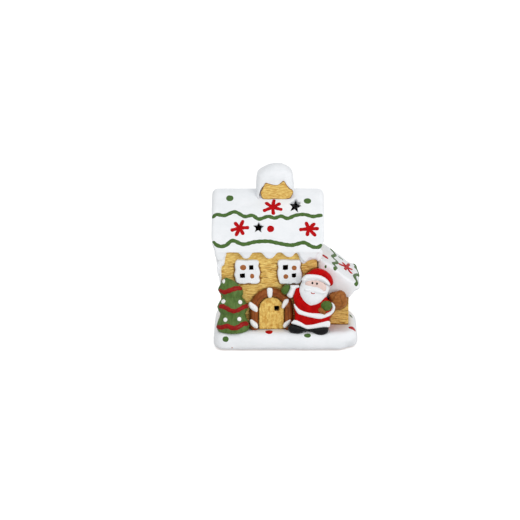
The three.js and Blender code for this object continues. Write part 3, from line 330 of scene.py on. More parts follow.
def worked(name, pale, deep, roughness, grain, relief, stretch=(1, 1, 1), **fixed):
    """A factory-made surface: a fine grain that shifts its colour, its sheen and its height a little.

    The grain is in millimetres, stretched along X, Y and Z. Other shader sockets take fixed values.
    """
    made, tree = material(name)
    place = add(tree, "ShaderNodeTexCoord").outputs["Object"]
    drawn = add(tree, "ShaderNodeMapping", sockets={
        "Vector": place, "Scale": [1 / (grain * length * MM) for length in stretch]})
    noise = add(tree, "ShaderNodeTexNoise", sockets={"Vector": drawn.outputs[0], "Scale": 1.0, "Detail": 3.0})
    colour = add(tree, "ShaderNodeMix", {"data_type": "RGBA"}, {
        0: noise.outputs[0], 6: linear(pale), 7: linear(deep)})
    sheen = add(tree, "ShaderNodeMapRange", sockets={
        "Value": noise.outputs[0], "To Min": roughness - 0.06, "To Max": roughness + 0.06})
    bump = add(tree, "ShaderNodeBump", sockets={
        "Height": noise.outputs[0], "Distance": relief * MM, "Strength": 1.0})
    sockets = {"Base Color": colour.outputs[2], "Roughness": sheen.outputs[0], "Normal": bump.outputs[0]}
    for socket, value in fixed.items():
        sockets[socket.replace("_", " ")] = value
    shader = add(tree, "ShaderNodeBsdfPrincipled", sockets=sockets)
    add(tree, "ShaderNodeOutputMaterial", sockets={"Surface": shader.outputs[0]})
    return made


# Fired clay under two coats of white acrylic: nearly even, with faint brush marks and a soft satin sheen.
snow = painted_clay("white_acrylic_on_bisque", "#eef0f3", "#e7eaed", 0.5, streak=(14, 14, 9), relief=0.05,
                    stain="#b98a45")
# Ochre clay, scribed while wet and wiped with brown glaze: the wash stays in each scratch and corner.
gingerbread = painted_clay("ochre_clay_wiped_with_brown", "#f5d882", "#c79440", 0.55, streak=(4, 4, 1.0),
                           relief=0.14, stain="#83521f")
# The door has the same clay, brushed up and down.
door_clay = painted_clay("ochre_door_clay_wiped_with_brown", "#f3d47a", "#cb9842", 0.55, streak=(2.2, 3, 3),
                         relief=0.14, stain="#83521f")
# Chocolate-brown acrylic dragged with a dry brush: thin streaks of lighter brown show.
chocolate = painted_clay("chocolate_acrylic_dry_brushed", "#9d5a2a", "#7c3c18", 0.45, streak=(2, 5, 5),
                         relief=0.2, stain="#4d230e")
# Thick white paint, a little glossier than the snow.
icing = painted_clay("thick_white_icing_paint", "#f2f2f2", "#eaebeb", 0.38, streak=(4, 4, 4), relief=0.06)
# Leaf-green acrylic on the tree, flat and even.
fir_green = painted_clay("leaf_green_acrylic", "#5f7a40", "#456129", 0.42, streak=(3, 4, 8), relief=0.1,
                         stain="#2a3d1a")
# The mittens have a brighter green with a soft sheen.
mitten_green = painted_clay("grass_green_acrylic", "#557032", "#436026", 0.4, streak=(3, 4, 5), relief=0.08,
                            stain="#263f19")
# The lines and dots on the snow are a duller green, put on thick with a round brush.
line_green = painted_clay("olive_green_line_paint", "#4e6e36", "#42602c", 0.5, streak=(3, 3, 2), relief=0.08)
# Scarlet enamel paint: the brightest finish, with a small soft highlight.
coat_red = painted_clay("scarlet_enamel_paint", "#bf0404", "#a40202", 0.3, streak=(5, 5, 7), relief=0.05,
                        stain="#5d0405", gloss=0.07)
# The red marks on the snow are the same paint, so their thick edges shine a little.
mark_red = painted_clay("scarlet_brush_marks", "#bf060c", "#a50408", 0.45, streak=(2, 2, 2), relief=0.08,
                        gloss=0.08)
# The garlands are a darker crimson that shows its brush ridges.
garland_red = painted_clay("crimson_garland_paint", "#a01914", "#7f1410", 0.3, streak=(2, 2, 2), relief=0.1)
# Skin: pale flesh colour, smooth, with a hint of pink.
skin_pink = painted_clay("pale_flesh_acrylic", "#e6cfc8", "#dfc3ba", 0.45, streak=(4, 4, 4), relief=0.04)
# Boots and eyes: black with a gloss that catches the lamps. The sides of the pierced panes and the peephole
# take it too, as painted shade that keeps the holes dark.
boot_black = painted_clay("black_gloss_acrylic", "#161618", "#0e0e10", 0.32, streak=(3, 3, 3), relief=0.1)
# The sack is tan clay; the dark brown in its folds is painted shade.
sack_brown = painted_clay("tan_acrylic_with_painted_fold_shade", "#aa6c34", "#8a5224", 0.45, streak=(4, 4, 2),
                          relief=0.2, stain="#45240c")
# Caramel panes: one thick dab of paint each.
pane_brown = painted_clay("caramel_pane_paint", "#a9683c", "#93582f", 0.42, streak=(2, 2, 2), relief=0.08)
# The smile is one fine line of brick red.
smile_red = painted_clay("brick_red_fine_line", "#b5342f", "#a02a26", 0.4, streak=(1, 1, 1), relief=0.03)
# Unpainted fired clay, under the base, inside the chamber and where the paint has chipped: chalky terracotta.
bare_clay = painted_clay("bare_terracotta", "#b9764a", "#a8663c", 0.85, streak=(3, 3, 3), relief=0.16)


def dressed(piece, finish, slot, *nodes, body="house"):
    """Gives the finished piece its material and its body, and hides the CAD nodes that it stands for."""
    piece.data.materials.clear()
    piece.data.materials.append(finish)
    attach(piece, body)
    if nodes:
        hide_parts(*nodes)
    return piece


def second_finish(piece, finish, chosen):
    """Paints the faces that the test picks, by their middle and normal, with another finish."""
    piece.data.materials.append(finish)
    last = len(piece.data.materials) - 1
    for polygon in piece.data.polygons:
        if chosen(polygon.center / MM, polygon.normal):
            polygon.material_index = last


# Forms modelled from the front

# A depth to start from, close to the figure's front, and the even steps of an outline, in millimetres.
NEAR_FRONT = 45.0
RIM_STEP = 0.6


def in_plane(outline, plane, depth):
    """Where the sight lines through the outline cross a plane: places across and up, in millimetres."""
    out, upward = plane
    found = []
    for u, v in outline:
        origin, direction = sight_line(u, v)
        spot = origin + direction * ((depth * MM - origin.dot(out)) / direction.dot(out))
        found.append((spot.x / MM, spot.dot(upward) / MM))
    return np.array(found)


def rim_distance(spots, rim):
    """How far each place in the plane is from the closed outline."""
    nearest = np.full(len(spots), 1e9)
    for a, b in zip(rim, np.roll(rim, -1, axis=0)):
        edge = b - a
        t = np.clip((spots - a) @ edge / max(edge @ edge, 1e-9), 0, 1)
        gap = spots - a - t[:, None] * edge
        nearest = np.minimum(nearest, np.einsum("ij,ij->i", gap, gap))
    return np.sqrt(nearest)


def flat(depth):
    """The same depth everywhere."""
    return lambda x, h: np.full(len(x), float(depth))


def upright(y, lean=0.0, foot=16.0):
    """The depth of an upright plane, which falls back by the lean for each millimetre above the foot."""
    cos, sin = math.cos(ELEVATION), math.sin(ELEVATION)
    return lambda x, h: (h * (sin - lean * cos) - y + foot * lean) / (cos + lean * sin)


def over(depth, proud):
    """A depth that stands proud of another one."""
    return lambda x, h: depth(x, h) + proud


def soft_form(name, outline, back, base, top, roll, plane=TO_VIEWER, grain=0.35, smoothing=4, lumps=0.0):
    """A soft clay form seen through this outline, as three depths towards the viewer.

    A disc takes the outline's shape, is drawn out, and is remeshed. Its rim comes forward to the base
    depth, and over the roll distance it rises to the top depth.
    """
    first = in_plane(outline, plane, NEAR_FRONT).mean(axis=0)
    rim_depth = float(base(first[:1], first[1:])[0])
    rim, _ = smooth_path(in_plane(outline, plane, rim_depth), RIM_STEP, closed=True)
    ground = float(back(rim[:, 0], rim[:, 1]).min())
    drawn = 12.0
    piece = disc(name, [(x, h, ground) for x, h in rim])
    drawn_out(piece, Vector((0, 0, 1)), drawn)
    finish_with(piece, "REMESH", mode="VOXEL", voxel_size=grain * MM, adaptivity=0)

    spots, _ = places(piece)
    x, h = spots[:, 0], spots[:, 1]
    inward = np.clip(rim_distance(spots[:, :2], rim) / roll, 0, 1)
    front = base(x, h) + (top(x, h) - base(x, h)) * np.sqrt(1 - (1 - inward) ** 2)
    share = np.clip((spots[:, 2] - ground) / drawn, 0, 1)
    spots[:, 2] = back(x, h) + (front - back(x, h)) * share
    move_to(piece, spots)
    finish_with(piece, "SMOOTH", factor=0.5, iterations=smoothing)

    out, upward = plane
    spots, _ = places(piece)
    move_to(piece, spots @ np.array([tuple(RIGHT), tuple(upward), tuple(out)]))
    if lumps:
        lumpy(piece, lumps, 6)
    pick(piece)
    bpy.ops.object.shade_smooth()
    return piece


def punched(piece, outlines, plane, depth, reach, rim=None):
    """Cuts holes with crisp edges, as punches through wet clay. Their sides can take a finish of their own,
    such as black for painted shade inside a hole.
    """
    out, upward = plane
    clear = 3
    punches = []
    for outline in outlines:
        corners = [RIGHT * x + upward * h + out * (depth + clear) for x, h in in_plane(outline, plane, depth)]
        punches.append(drawn_out(disc("punch", corners), -out, reach + clear))
    punch = joined("punch", punches)
    punch.data.materials.append(rim or piece.data.materials[0])
    finish_with(piece, "BOOLEAN", object=punch, operation="DIFFERENCE", solver="EXACT",
                material_mode="TRANSFER")
    bpy.data.objects.remove(punch)


# Brush strokes

# How deep a stroke's rim lies in the surface, and how thick the paint is behind its front, in millimetres.
PAINT_SUNK = 0.06
PAINT_BACK = 0.35


def seen_on(tree, *spots):
    """Where the lines of sight through these places meet a surface. One that misses lands close by."""
    lines = [sight_line(u, v) for u, v in spots]
    found = [tree.ray_cast(origin, direction) for origin, direction in lines]
    met = [hit[0] for hit in found if hit[0] is not None]
    landed = []
    for (origin, direction), hit in zip(lines, found):
        if hit[0] is None:
            near = min(met, key=lambda spot: (spot - origin).cross(direction).length, default=None)
            reach = (near - origin).dot(direction) if near else CAMERA_DISTANCE
            hit = tree.find_nearest(origin + direction * reach)
        landed.append(hit[0])
    return landed


def on_far_side(spots):
    """The same places mirrored front to back."""
    return [Vector((spot.x, -spot.y, spot.z)) for spot in spots]


def brush_stroke(tree, line, half_width, rise=0.3, end=None, waver=0.07, step=0.45):
    """One stroke of thick paint: a grid pulled onto the surface along a line, domed, with round ends."""
    path, along = smooth_path([spot / MM for spot in line], step)
    total = along[-1]
    count = len(path)
    to_end = np.minimum(along, total - along) / min(end or half_width, total / 2)
    shape = np.sqrt(1 - (1 - np.clip(to_end, 0, 1)) ** 2)
    turn = random.uniform(0, 6)
    width = half_width * np.maximum(shape, 0.04) * (1 + waver * np.sin(along * 1.3 + turn))
    bpy.ops.object.select_all(action="DESELECT")
    bpy.ops.mesh.primitive_grid_add(x_subdivisions=count - 1, y_subdivisions=6, size=2)
    piece = bpy.context.object
    sides = []
    for i in range(count):
        facing = tree.find_nearest(Vector(path[i]) * MM)[1]
        direction = Vector(path[min(i + 1, count - 1)] - path[max(i - 1, 0)])
        sides.append(facing.cross(direction).normalized())
    for vertex in piece.data.vertices:
        i = round((vertex.co.x + 1) / 2 * (count - 1))
        across = vertex.co.y
        reach = Vector(path[i]) + sides[i] * across * width[i]
        spot, facing = tree.find_nearest(reach * MM)[:2]
        dome = rise * math.sqrt(max(0, 1 - across ** 2)) * min(1, 1.3 * shape[i]) - PAINT_SUNK
        vertex.co = spot + facing * dome * MM
    finish_with(piece, "SOLIDIFY", thickness=PAINT_BACK * MM, offset=-1)
    bpy.ops.object.shade_smooth_by_angle(angle=math.radians(50))
    return piece


def dab(tree, u, v, across, down, rise=0.3, tilt=0.0, widest=4.5):
    """A dot of paint: one short stroke as long and as high as seen from the front."""
    cos, sin = math.cos(tilt), math.sin(tilt)
    left, right = seen_on(tree, (u - across * cos, v - across * sin), (u + across * cos, v + across * sin))
    above, below = seen_on(tree, (u + down * sin, v - down * cos), (u - down * sin, v + down * cos))
    half = min((above - below).length / 2 / MM, widest)
    middle = below + (above - below).normalized() * half * MM
    shift = middle - (left + right) / 2
    line = (left + shift, middle, right + shift)
    return brush_stroke(tree, line, half, rise, end=math.inf, waver=0.03, step=0.3)


def asterisk(tree, centre, ends, half_width, moved=list, rise=0.35):
    """Three strokes that cross: each pair of opposite ends is one stroke."""
    return [brush_stroke(tree, moved(seen_on(tree, a, centre, b)), half_width, rise)
            for a, b in zip(ends[:3], ends[3:])]


# Cast clay bodies

snowy_base = cast_from("base_plinth", "snowy_base", grain=0.85, smoothing=10, lumps=0.9, lump_size=13)
walls = cast_from("house_walls", "gingerbread_walls", grain=0.86, smoothing=4, lumps=0.4)
snow_roof = cast_from("main_roof", "snow_roof", grain=0.7, smoothing=12, lumps=0.5, lump_size=12)
chimney = cast_from("chimney_stack", "gingerbread_chimney", grain=0.45, smoothing=5)
chimney_heap = cast_from("chimney_snow", "chimney_snow_heap", grain=0.5, smoothing=10, lumps=0.6,
                         core="chimney_stack")
wing = cast_from("wing_walls", "gingerbread_wing", grain=0.6, smoothing=4, lumps=0.3)
wing_snow = cast_from("wing_roof", "wing_snow_roof", grain=0.6, smoothing=80, lumps=0.9, lump_size=12)
door = cast_from("door_panel", "gingerbread_door", grain=0.35, smoothing=3)
arch = cast_from("door_arch", "chocolate_arch", grain=0.4, smoothing=6)
fir = cast_from("fir_tree", "fir_tree_clay", grain=0.4, smoothing=8)

# Then vertices are pushed and pulled into the real one's sags and leans. In these steps x, y and z are the
# columns of spots, in millimetres, so a change to one of them moves the spots.

# The icicles run on from the blanket's front without a step.
EAVE_FRONT = 38.3
ICICLES_FROM = 74
spots, normals = places(snow_roof)
x, y, z = spots.T
for side in (-1, 1):
    hanging = (normals[:, 1] * side > 0.2) & (y * side > 33) & (z < ICICLES_FROM)
    wanted = EAVE_FRONT - 1.6 * ramp(z, ICICLES_FROM, ICICLES_FROM - 10) ** 2
    forward = np.clip(wanted - y * side, 0, 2.2) * hanging
    y += side * forward
move_to(snow_roof, spots)
finish_with(snow_roof, "SMOOTH", factor=0.5, iterations=4)

# The blanket rounds off at both ends of the ridge.
spots, _ = places(snow_roof)
x, y, z = spots.T
to_end = np.minimum(x - x.min(), x.max() - x)
z -= 2.2 * ramp(to_end, 6, 0) ** 2 * ramp(z, 100, 130)
move_to(snow_roof, spots)

# The base draws in low down at its front right corner.
spots, _ = places(snowy_base)
x, y, z = spots.T
corner = 2.6 * ramp(x, 46, 56) * ramp(y, -32, -42) * ramp(z, 9, 3)
x -= corner
y += corner
move_to(snowy_base, spots)

# The tree's top tier leans out to the left.
spots, _ = places(fir)
x, y, z = spots.T
x -= 1.5 * np.exp(-((z - 54) / 4) ** 2) * ramp(x, -48, -54)
move_to(fir, spots)

# The stack keeps well inside the snow that covers it.
STACK_MIDDLE_X = -8.6
spots, normals = places(chimney)
x, y, z = spots.T
upper = ramp(z, 132, 137)
x += 0.14 * (STACK_MIDDLE_X - x) * upper
y -= 0.2 * y * upper
z -= 3 * upper
move_to(chimney, spots - normals * 0.8)

# The heap's crown slopes away on both sides, more to the left.
spots, _ = places(chimney_heap)
x, y, z = spots.T
z -= 2.4 * ramp(z, 148, 155) * ramp(x, -10, -22)
z -= 1.5 * ramp(z, 150, 156) * ramp(x, -4, 4)
move_to(chimney_heap, spots)

# The wing's snow draws up towards its outer edge.
spots, _ = places(wing_snow)
x, y, z = spots.T
z += 0.55 * ramp(x, 54.5, 60.5) * np.maximum(53 - z, 0)
move_to(wing_snow, spots)

ARCH_MIDDLE = (-12.8, 34.8)
ARCH_LINE = 14.6


def from_arch_line(spots):
    """How far outside the arch's middle line each spot lies, in millimetres."""
    across = spots[:, 0] - ARCH_MIDDLE[0]
    above = np.maximum(spots[:, 2] - ARCH_MIDDLE[1], 0)
    return np.hypot(across, above) - ARCH_LINE


# The CAD arch has a recess for each icing bar. Its front is filled up level there, ring by ring.
RING_WIDTH = 0.4
ARCH_FRONT_HALF = -34.2
ARCH_FULL_FRONT = -36.2
spots, _ = places(arch)
ring = np.round(from_arch_line(spots) / RING_WIDTH).astype(int)
for number in np.unique(ring):
    here = np.flatnonzero((ring == number) & (spots[:, 1] < ARCH_FRONT_HALF))
    if len(here) > 40:
        proud = np.percentile(spots[here, 1], 15)
        sunk = here[spots[here, 1] > proud + 0.25]
        if proud < ARCH_FULL_FRONT:
            spots[sunk, 1] = proud
move_to(arch, spots)
finish_with(arch, "SMOOTH", factor=0.5, iterations=6)

# A line is pressed along its middle, and it is darker brown there.
spots, normals = places(arch)
pressed = np.clip(1 - (from_arch_line(spots) / 0.8) ** 2, 0, 1) * (normals[:, 1] < -0.3)
move_to(arch, spots - normals * (0.45 * pressed)[:, None])
keep_wash_and_shade(arch, 0.5 * pressed)


# Window blocks: thick slabs of icing with wavering edges, each with two pierced and two painted panes.

BLOCKS = {
    "window_left": [(275, 808), (300, 800), (345, 803), (400, 800), (440, 805), (452, 822), (447, 850),
                    (456, 880), (460, 905), (452, 935), (460, 962), (440, 982), (400, 985), (372, 979),
                    (345, 985), (300, 984), (275, 970), (270, 945), (262, 915), (270, 880), (266, 845)],
    "window_right": [(602, 805), (640, 798), (690, 801), (740, 802), (765, 806), (772, 830), (767, 860),
                     (775, 890), (782, 918), (777, 950), (768, 974), (745, 985), (715, 980), (690, 988),
                     (650, 986), (615, 983), (603, 960), (595, 925), (592, 890), (599, 860), (593, 830)],
}
PIERCED_PANES = {
    "window_left": [[(375, 844), (408, 843), (409, 877), (376, 879)],
                    [(304, 909), (343, 905), (345, 937), (328, 941), (306, 939)]],
    "window_right": [[(634, 843), (674, 840), (673, 875), (652, 881), (633, 877)],
                     [(701, 908), (736, 904), (735, 932), (720, 939), (703, 935)]],
}
PAINTED_PANES = {
    "window_left": [(330, 861, 25, 23), (399, 927, 17, 21)],
    "window_right": [(721, 864, 20, 21), (657, 930, 20, 20)],
}
BLOCK_FRONT = 35.9
blocks = {}
for node, outline in BLOCKS.items():
    block = soft_form(node + "_block", outline, flat(33.0), flat(33.9), flat(BLOCK_FRONT), roll=1.3,
                      plane=TO_FRONT, grain=0.3, smoothing=3, lumps=0.25)
    blocks[node] = dressed(block, snow, "snow_glaze", node)
    # The pierced panes' sides are painted black: painted shade, so that the holes look dark.
    punched(block, PIERCED_PANES[node], TO_FRONT, BLOCK_FRONT, 4, rim=boot_black)


# The figure, modelled from soft forms that lie on each other

SIDE_OF_HOUSE = 26.5
IN_HOUSE_WALL = -30.5
IN_WING = -17.5


def behind_figure(x, h):
    """The forms run back into the house wall, and beyond its corner into the wing's snow."""
    wall = IN_HOUSE_WALL + (IN_WING - IN_HOUSE_WALL) * ramp(x, SIDE_OF_HOUSE, SIDE_OF_HOUSE + 2)
    return (h * math.sin(ELEVATION) - wall) / math.cos(ELEVATION)


COAT = [(731, 1018), (772, 1016), (853, 1035), (948, 1063), (977, 1102), (1011, 1130), (1030, 1164),
        (1025, 1197), (1001, 1231), (993, 1264), (989, 1290), (975, 1306), (939, 1314), (901, 1321),
        (834, 1327), (805, 1323), (757, 1304), (712, 1291), (712, 1275), (724, 1255), (726, 1216),
        (720, 1168), (724, 1140), (718, 1111), (714, 1082), (724, 1049)]
BELT = [(720, 1137), (757, 1176), (805, 1198), (853, 1208), (901, 1210), (948, 1212), (987, 1202),
        (1013, 1188), (1027, 1195), (996, 1228), (948, 1249), (910, 1255), (853, 1245), (781, 1227),
        (748, 1212), (723, 1168)]
HEM = [(696, 1284), (724, 1261), (767, 1275), (805, 1298), (834, 1299), (872, 1294), (929, 1279),
       (989, 1270), (991, 1314), (939, 1318), (901, 1324), (834, 1332), (805, 1327), (757, 1307), (705, 1291)]
BOOT_LEFT = [(681, 1305), (709, 1295), (757, 1305), (795, 1320), (828, 1333), (795, 1353), (767, 1368),
             (724, 1370), (690, 1357), (675, 1336), (674, 1317)]
BOOT_RIGHT = [(820, 1333), (853, 1326), (901, 1320), (948, 1314), (979, 1311), (984, 1331), (975, 1360),
              (944, 1381), (905, 1382), (872, 1367), (853, 1348)]
HEAD = [(790, 956), (812, 938), (838, 931), (898, 935), (940, 954), (963, 980), (983, 1000), (991, 1020),
        (982, 1049), (968, 1082), (948, 1116), (924, 1140), (901, 1153), (872, 1161), (848, 1165),
        (824, 1157), (795, 1133), (772, 1102), (757, 1068), (753, 1035), (767, 1001), (776, 977)]
FACE = [(804, 992), (807, 973), (834, 960), (872, 958), (901, 961), (934, 973), (963, 994), (967, 1016),
        (960, 1039), (944, 1044), (920, 1037), (901, 1029), (872, 1025), (843, 1018), (819, 1006)]
BRIM = [(777, 950), (801, 921), (832, 912), (867, 911), (903, 915), (938, 926), (968, 945), (988, 967),
        (998, 993), (985, 1001), (967, 992), (948, 980), (929, 970), (901, 960), (872, 956), (843, 957),
        (815, 964), (800, 973), (783, 968)]
HAT = [(807, 924), (815, 910), (834, 895), (862, 875), (896, 866), (929, 870), (963, 884), (991, 907),
       (1011, 935), (1020, 968), (1018, 989), (1002, 1002), (981, 996), (969, 976), (953, 960), (927, 944),
       (899, 939), (863, 938), (837, 938), (812, 936)]
MOUSTACHE_LEFT = [(797, 1030), (806, 1021), (826, 1018), (848, 1024), (864, 1036), (858, 1046),
                  (838, 1049), (815, 1048), (800, 1042)]
MOUSTACHE_RIGHT = [(866, 1036), (884, 1030), (910, 1032), (938, 1040), (962, 1047), (966, 1057),
                   (948, 1065), (915, 1066), (886, 1060), (870, 1049)]
MITTEN_RAISED = [(657, 992), (678, 992), (689, 1010), (684, 1035), (667, 1062), (645, 1067), (624, 1051),
                 (621, 1030), (635, 1006)]
CUFF_RAISED = [(691, 997), (726, 995), (750, 994), (762, 1003), (756, 1016), (738, 1024), (725, 1049),
               (709, 1087), (688, 1094), (664, 1073), (676, 1044), (688, 1018)]
CUFF_HOLDING = [(999, 1126), (1018, 1133), (1032, 1152), (1034, 1173), (1025, 1198), (999, 1223),
                (963, 1240), (966, 1205), (996, 1188), (1008, 1164), (1005, 1140)]
MITTEN_HOLDING = [(968, 1114), (992, 1118), (1008, 1134), (1011, 1158), (1003, 1182), (984, 1196),
                  (960, 1197), (938, 1186), (923, 1166), (922, 1142), (934, 1124), (950, 1115)]
SACK = [(985, 1082), (997, 1060), (1020, 1048), (1048, 1043), (1062, 1036), (1080, 1034), (1098, 1044),
        (1113, 1062), (1124, 1088), (1127, 1115), (1120, 1142), (1102, 1165), (1078, 1178), (1050, 1182),
        (1020, 1170), (1000, 1140)]
SACK_MOUTH = [(905, 1171), (929, 1164), (968, 1197), (960, 1228), (944, 1226), (920, 1213), (901, 1192)]

# Each form runs from its back, over its rim, to its top. These are given as the Y of upright planes.
coat_front = upright(-45.9, lean=0.05)
coat = soft_form("red_coat", COAT, behind_figure, upright(-41.5), coat_front, roll=4.5)
belt = soft_form("fur_belt", BELT, upright(-40.0), over(coat_front, -0.5), over(coat_front, 1.1), roll=1.5)
hem = soft_form("fur_hem", HEM, upright(-40.0), over(coat_front, -0.6), over(coat_front, 0.8), roll=1.5)
boots = joined("black_boots", [
    soft_form("boot_left", BOOT_LEFT, upright(-33.0), upright(-42.5), upright(-46.4), roll=3.2),
    soft_form("boot_right", BOOT_RIGHT, upright(-33.0), upright(-43.0), upright(-47.0), roll=3.2)])
head = soft_form("beard_and_hair", HEAD, behind_figure, upright(-41.0), upright(-47.2), roll=8.5)
face = soft_form("face_skin", FACE, upright(-42.0), upright(-45.4), upright(-47.3), roll=2.6, grain=0.3)
brim = soft_form("fur_brim", BRIM, upright(-41.0), upright(-44.5), upright(-47.9), roll=3.4, grain=0.3,
                 smoothing=8)
moustache = joined("moustache", [
    soft_form(name, outline, upright(-44.0), upright(-46.2), upright(-48.1), roll=2.4, grain=0.3)
    for name, outline in (("lobe_left", MOUSTACHE_LEFT), ("lobe_right", MOUSTACHE_RIGHT))])
hat = soft_form("red_hat", HAT, behind_figure, upright(-41.0), upright(-45.8), roll=3.6)
mitten_up = soft_form("raised_mitten", MITTEN_RAISED, upright(-31.0), upright(-40.5), upright(-43.9),
                      roll=3.6)
cuff_up = soft_form("raised_cuff", CUFF_RAISED, upright(-31.0), upright(-40.5), upright(-44.7), roll=3.0)
cuff_down = soft_form("holding_cuff", CUFF_HOLDING, upright(-33.0), upright(-42.0), upright(-46.4), roll=2.4)
mitten_down = soft_form("holding_mitten", MITTEN_HOLDING, upright(-40.0), upright(-43.0), upright(-48.0),
                        roll=4.6)
sack = soft_form("gift_sack_clay", SACK, behind_figure, upright(-36.5), upright(-42.0), roll=8.0)
sack_end = soft_form("sack_mouth_clay", SACK_MOUTH, upright(-41.0), upright(-43.5), upright(-47.2), roll=2.4)

# The depth at which the place of a knot in the sack is read, in millimetres.
SACK_FRONT = 48.0


def fold(piece, knot, count, depth, reach):
    """Presses folds into a piece that fan out from a knot, and stores their shade as wash."""
    spots, normals = places(piece)
    centre = in_plane([knot], TO_VIEWER, SACK_FRONT)[0]
    x = spots[:, 0] - centre[0]
    h = spots @ np.array(tuple(look_up)) - centre[1]
    turn = np.arctan2(h, x)
    far = np.hypot(x, h)
    waves = np.sin(count * turn + 0.9 * np.sin(far * 0.45))
    crease = np.clip(waves, 0, 1) ** 3 * ramp(far, 0, 3) * np.clip(reach / np.maximum(far, 1), 0, 1)
    move_to(piece, spots - normals * (depth * crease)[:, None])
    keep_wash_and_shade(piece, crease * 0.55)


lumpy(sack, lumps=0.45, size=2.6)
# The folds are pressed in, and their painted shade darkens the sack's colour in them.
fold(sack, (1077, 1042), count=7, depth=0.2, reach=9)
fold(sack_end, (935, 1165), count=12, depth=0.4, reach=6)

dressed(coat, coat_red, "coat_red_paint", "santa_coat")
dressed(belt, snow, "snow_glaze")
dressed(hem, snow, "snow_glaze")
dressed(boots, boot_black, "boot_black_paint", "santa_boots")
dressed(head, snow, "snow_glaze", "santa_head")
dressed(brim, snow, "snow_glaze")
dressed(moustache, snow, "snow_glaze")
dressed(face, skin_pink, "skin_paint", "santa_face")
dressed(hat, coat_red, "coat_red_paint", "santa_hat")
dressed(mitten_up, mitten_green, "mitten_green_paint", "mitten_raised")
dressed(cuff_up, snow, "snow_glaze", "cuff_raised")
dressed(mitten_down, mitten_green, "mitten_green_paint", "mitten_holding")
dressed(cuff_down, snow, "snow_glaze", "cuff_holding")
dressed(sack, sack_brown, "sack_brown_paint", "gift_sack")
dressed(sack_end, sack_brown, "sack_brown_paint", "sack_mouth")


# Scratches in the gingerbread, and the brown wash that stays in them and against the snow

# One scribed stroke's range of lengths, of gaps after it, of offsets from its row, and of heights and lengths
# of its wave, in millimetres. Its slope and its force are shares.
STROKE_LENGTH = (4, 15)
STROKE_GAP = (0.4, 3.5)
STROKE_OFFSET = (-0.9, 0.9)
STROKE_SWING = (0.15, 0.5)
STROKE_WAVE = (1.2, 2.6)
STROKE_SLOPE = (-0.05, 0.05)
STROKE_FORCE = (0.35, 1.0)
# A row starts up to this far before its box, so that the rows don't line up.
ROW_START = 8


def refine(piece, chosen):
    """Cuts the faces that the test picks, by middle and normal, once each way."""
    pick(piece)
    bpy.ops.object.mode_set(mode="EDIT")
    bpy.ops.mesh.select_mode(type="FACE")
    bpy.ops.mesh.select_all(action="DESELECT")
    bpy.ops.object.mode_set(mode="OBJECT")
    for polygon in piece.data.polygons:
        polygon.select = bool(chosen(polygon.center / MM, polygon.normal))
    bpy.ops.object.mode_set(mode="EDIT")
    bpy.ops.mesh.subdivide(number_cuts=1)
    bpy.ops.mesh.select_mode(type="VERT")
    bpy.ops.object.mode_set(mode="OBJECT")


def inside(spots, low, high):
    """Which spots lie in the box between two corners."""
    return np.all((spots > np.array(low)) & (spots < np.array(high)), axis=1)


def scratch(piece, facing, low, high, spacing=1.55, depth=0.25, half=0.42, up_and_down=False):
    """Presses rows of short wavering strokes into one side of a piece.

    The side is what faces this way inside the box. Gives each vertex's share of the depth.
    """
    spots, normals = places(piece)
    side = 0 if abs(facing[1]) > 0.5 else 1
    along, height = (2, side) if up_and_down else (side, 2)
    here = (normals @ np.array(facing) > 0.45) & inside(spots, low, high)
    a, b = spots[here, along], spots[here, height]
    deepest = np.zeros(len(a))
    row = low[height]
    while row < high[height]:
        start = low[along] - random.uniform(0, ROW_START)
        while start < high[along]:
            length = random.uniform(*STROKE_LENGTH)
            level = row + random.uniform(*STROKE_OFFSET)
            slope = random.uniform(*STROKE_SLOPE)
            swing = random.uniform(*STROKE_SWING)
            wave = random.uniform(*STROKE_WAVE)
            t = (a - start) / length
            middle = level + slope * (a - start) + swing * np.sin((a - start) / wave)
            force = random.uniform(*STROKE_FORCE)
            cut = force * np.clip(1 - ((b - middle) / half) ** 2, 0, 1) * np.clip(12 * t * (1 - t), 0, 1)
            deepest = np.maximum(deepest, np.where((t > 0) & (t < 1), cut, 0))
            start += length + random.uniform(*STROKE_GAP)
        row += spacing
    share = np.zeros(len(spots))
    share[here] = deepest
    move_to(piece, spots - normals * (share * depth)[:, None])
    return share


def gathered(piece, neighbours, low, high, reach=2.0):
    """How strongly the wash gathers along the neighbouring pieces, inside the box."""
    spots, _ = places(piece)
    here = inside(spots, low, high)
    amount = np.zeros(len(spots))
    amount[here] = 1 - distance_to(spots[here], surface(*neighbours), reach) / reach
    return amount


# Boxes around one side of a body each: the least X, Y and Z, and the greatest, in millimetres.
FRONT_OF_WALL = -30.5
FRONT_OF_WING = -18.5
WALLS_FRONT = ((-60, -40, 14), (30, FRONT_OF_WALL, 76))
WALLS_BACK = ((-60, 29, 14), (30, 40, 76))
WALLS_LEFT = ((-60, -36, 14), (-52, 36, 120))
WALLS_RIGHT = ((22, -36, 14), (30, 36, 120))
WALLS_BACK_EDGE = ((-60, 27, 14), (30, 40, 80))
WALLS_LEFT_EDGE = ((-60, -36, 14), (-54, 36, 122))
WALLS_RIGHT_EDGE = ((25, -36, 14), (30, 36, 122))
WHOLE_WING = ((26, -22, 14), (56, 30, 60))
WING_FRONT = ((26, -22, 14), (56, -18, 60))
WING_RIGHT = ((52, -22, 14), (56, 30, 60))
WING_BACK = ((26, 26, 14), (56, 30, 60))
WING_BACK_EDGE = ((26, 24, 14), (56, 30, 72))
PATCH_FRONT = ((-30, -18, 122), (12, 0, 148))
DOOR_FRONT = ((-26, -36, 15), (0, -33, 47))
TOP_OF_BASE = ((-64, -42, 14), (64, 42, 20))
FRONT_EAVE = ((-64, -40, 60), (34, -30, 90))
WING_EAVE = ((24, -40, 30), (60, 0, 90))

TO_BACK = (0, 1, 0)
TO_LEFT = (-1, 0, 0)
TO_RIGHT = (1, 0, 0)
FORWARD = (0, -1, 0)

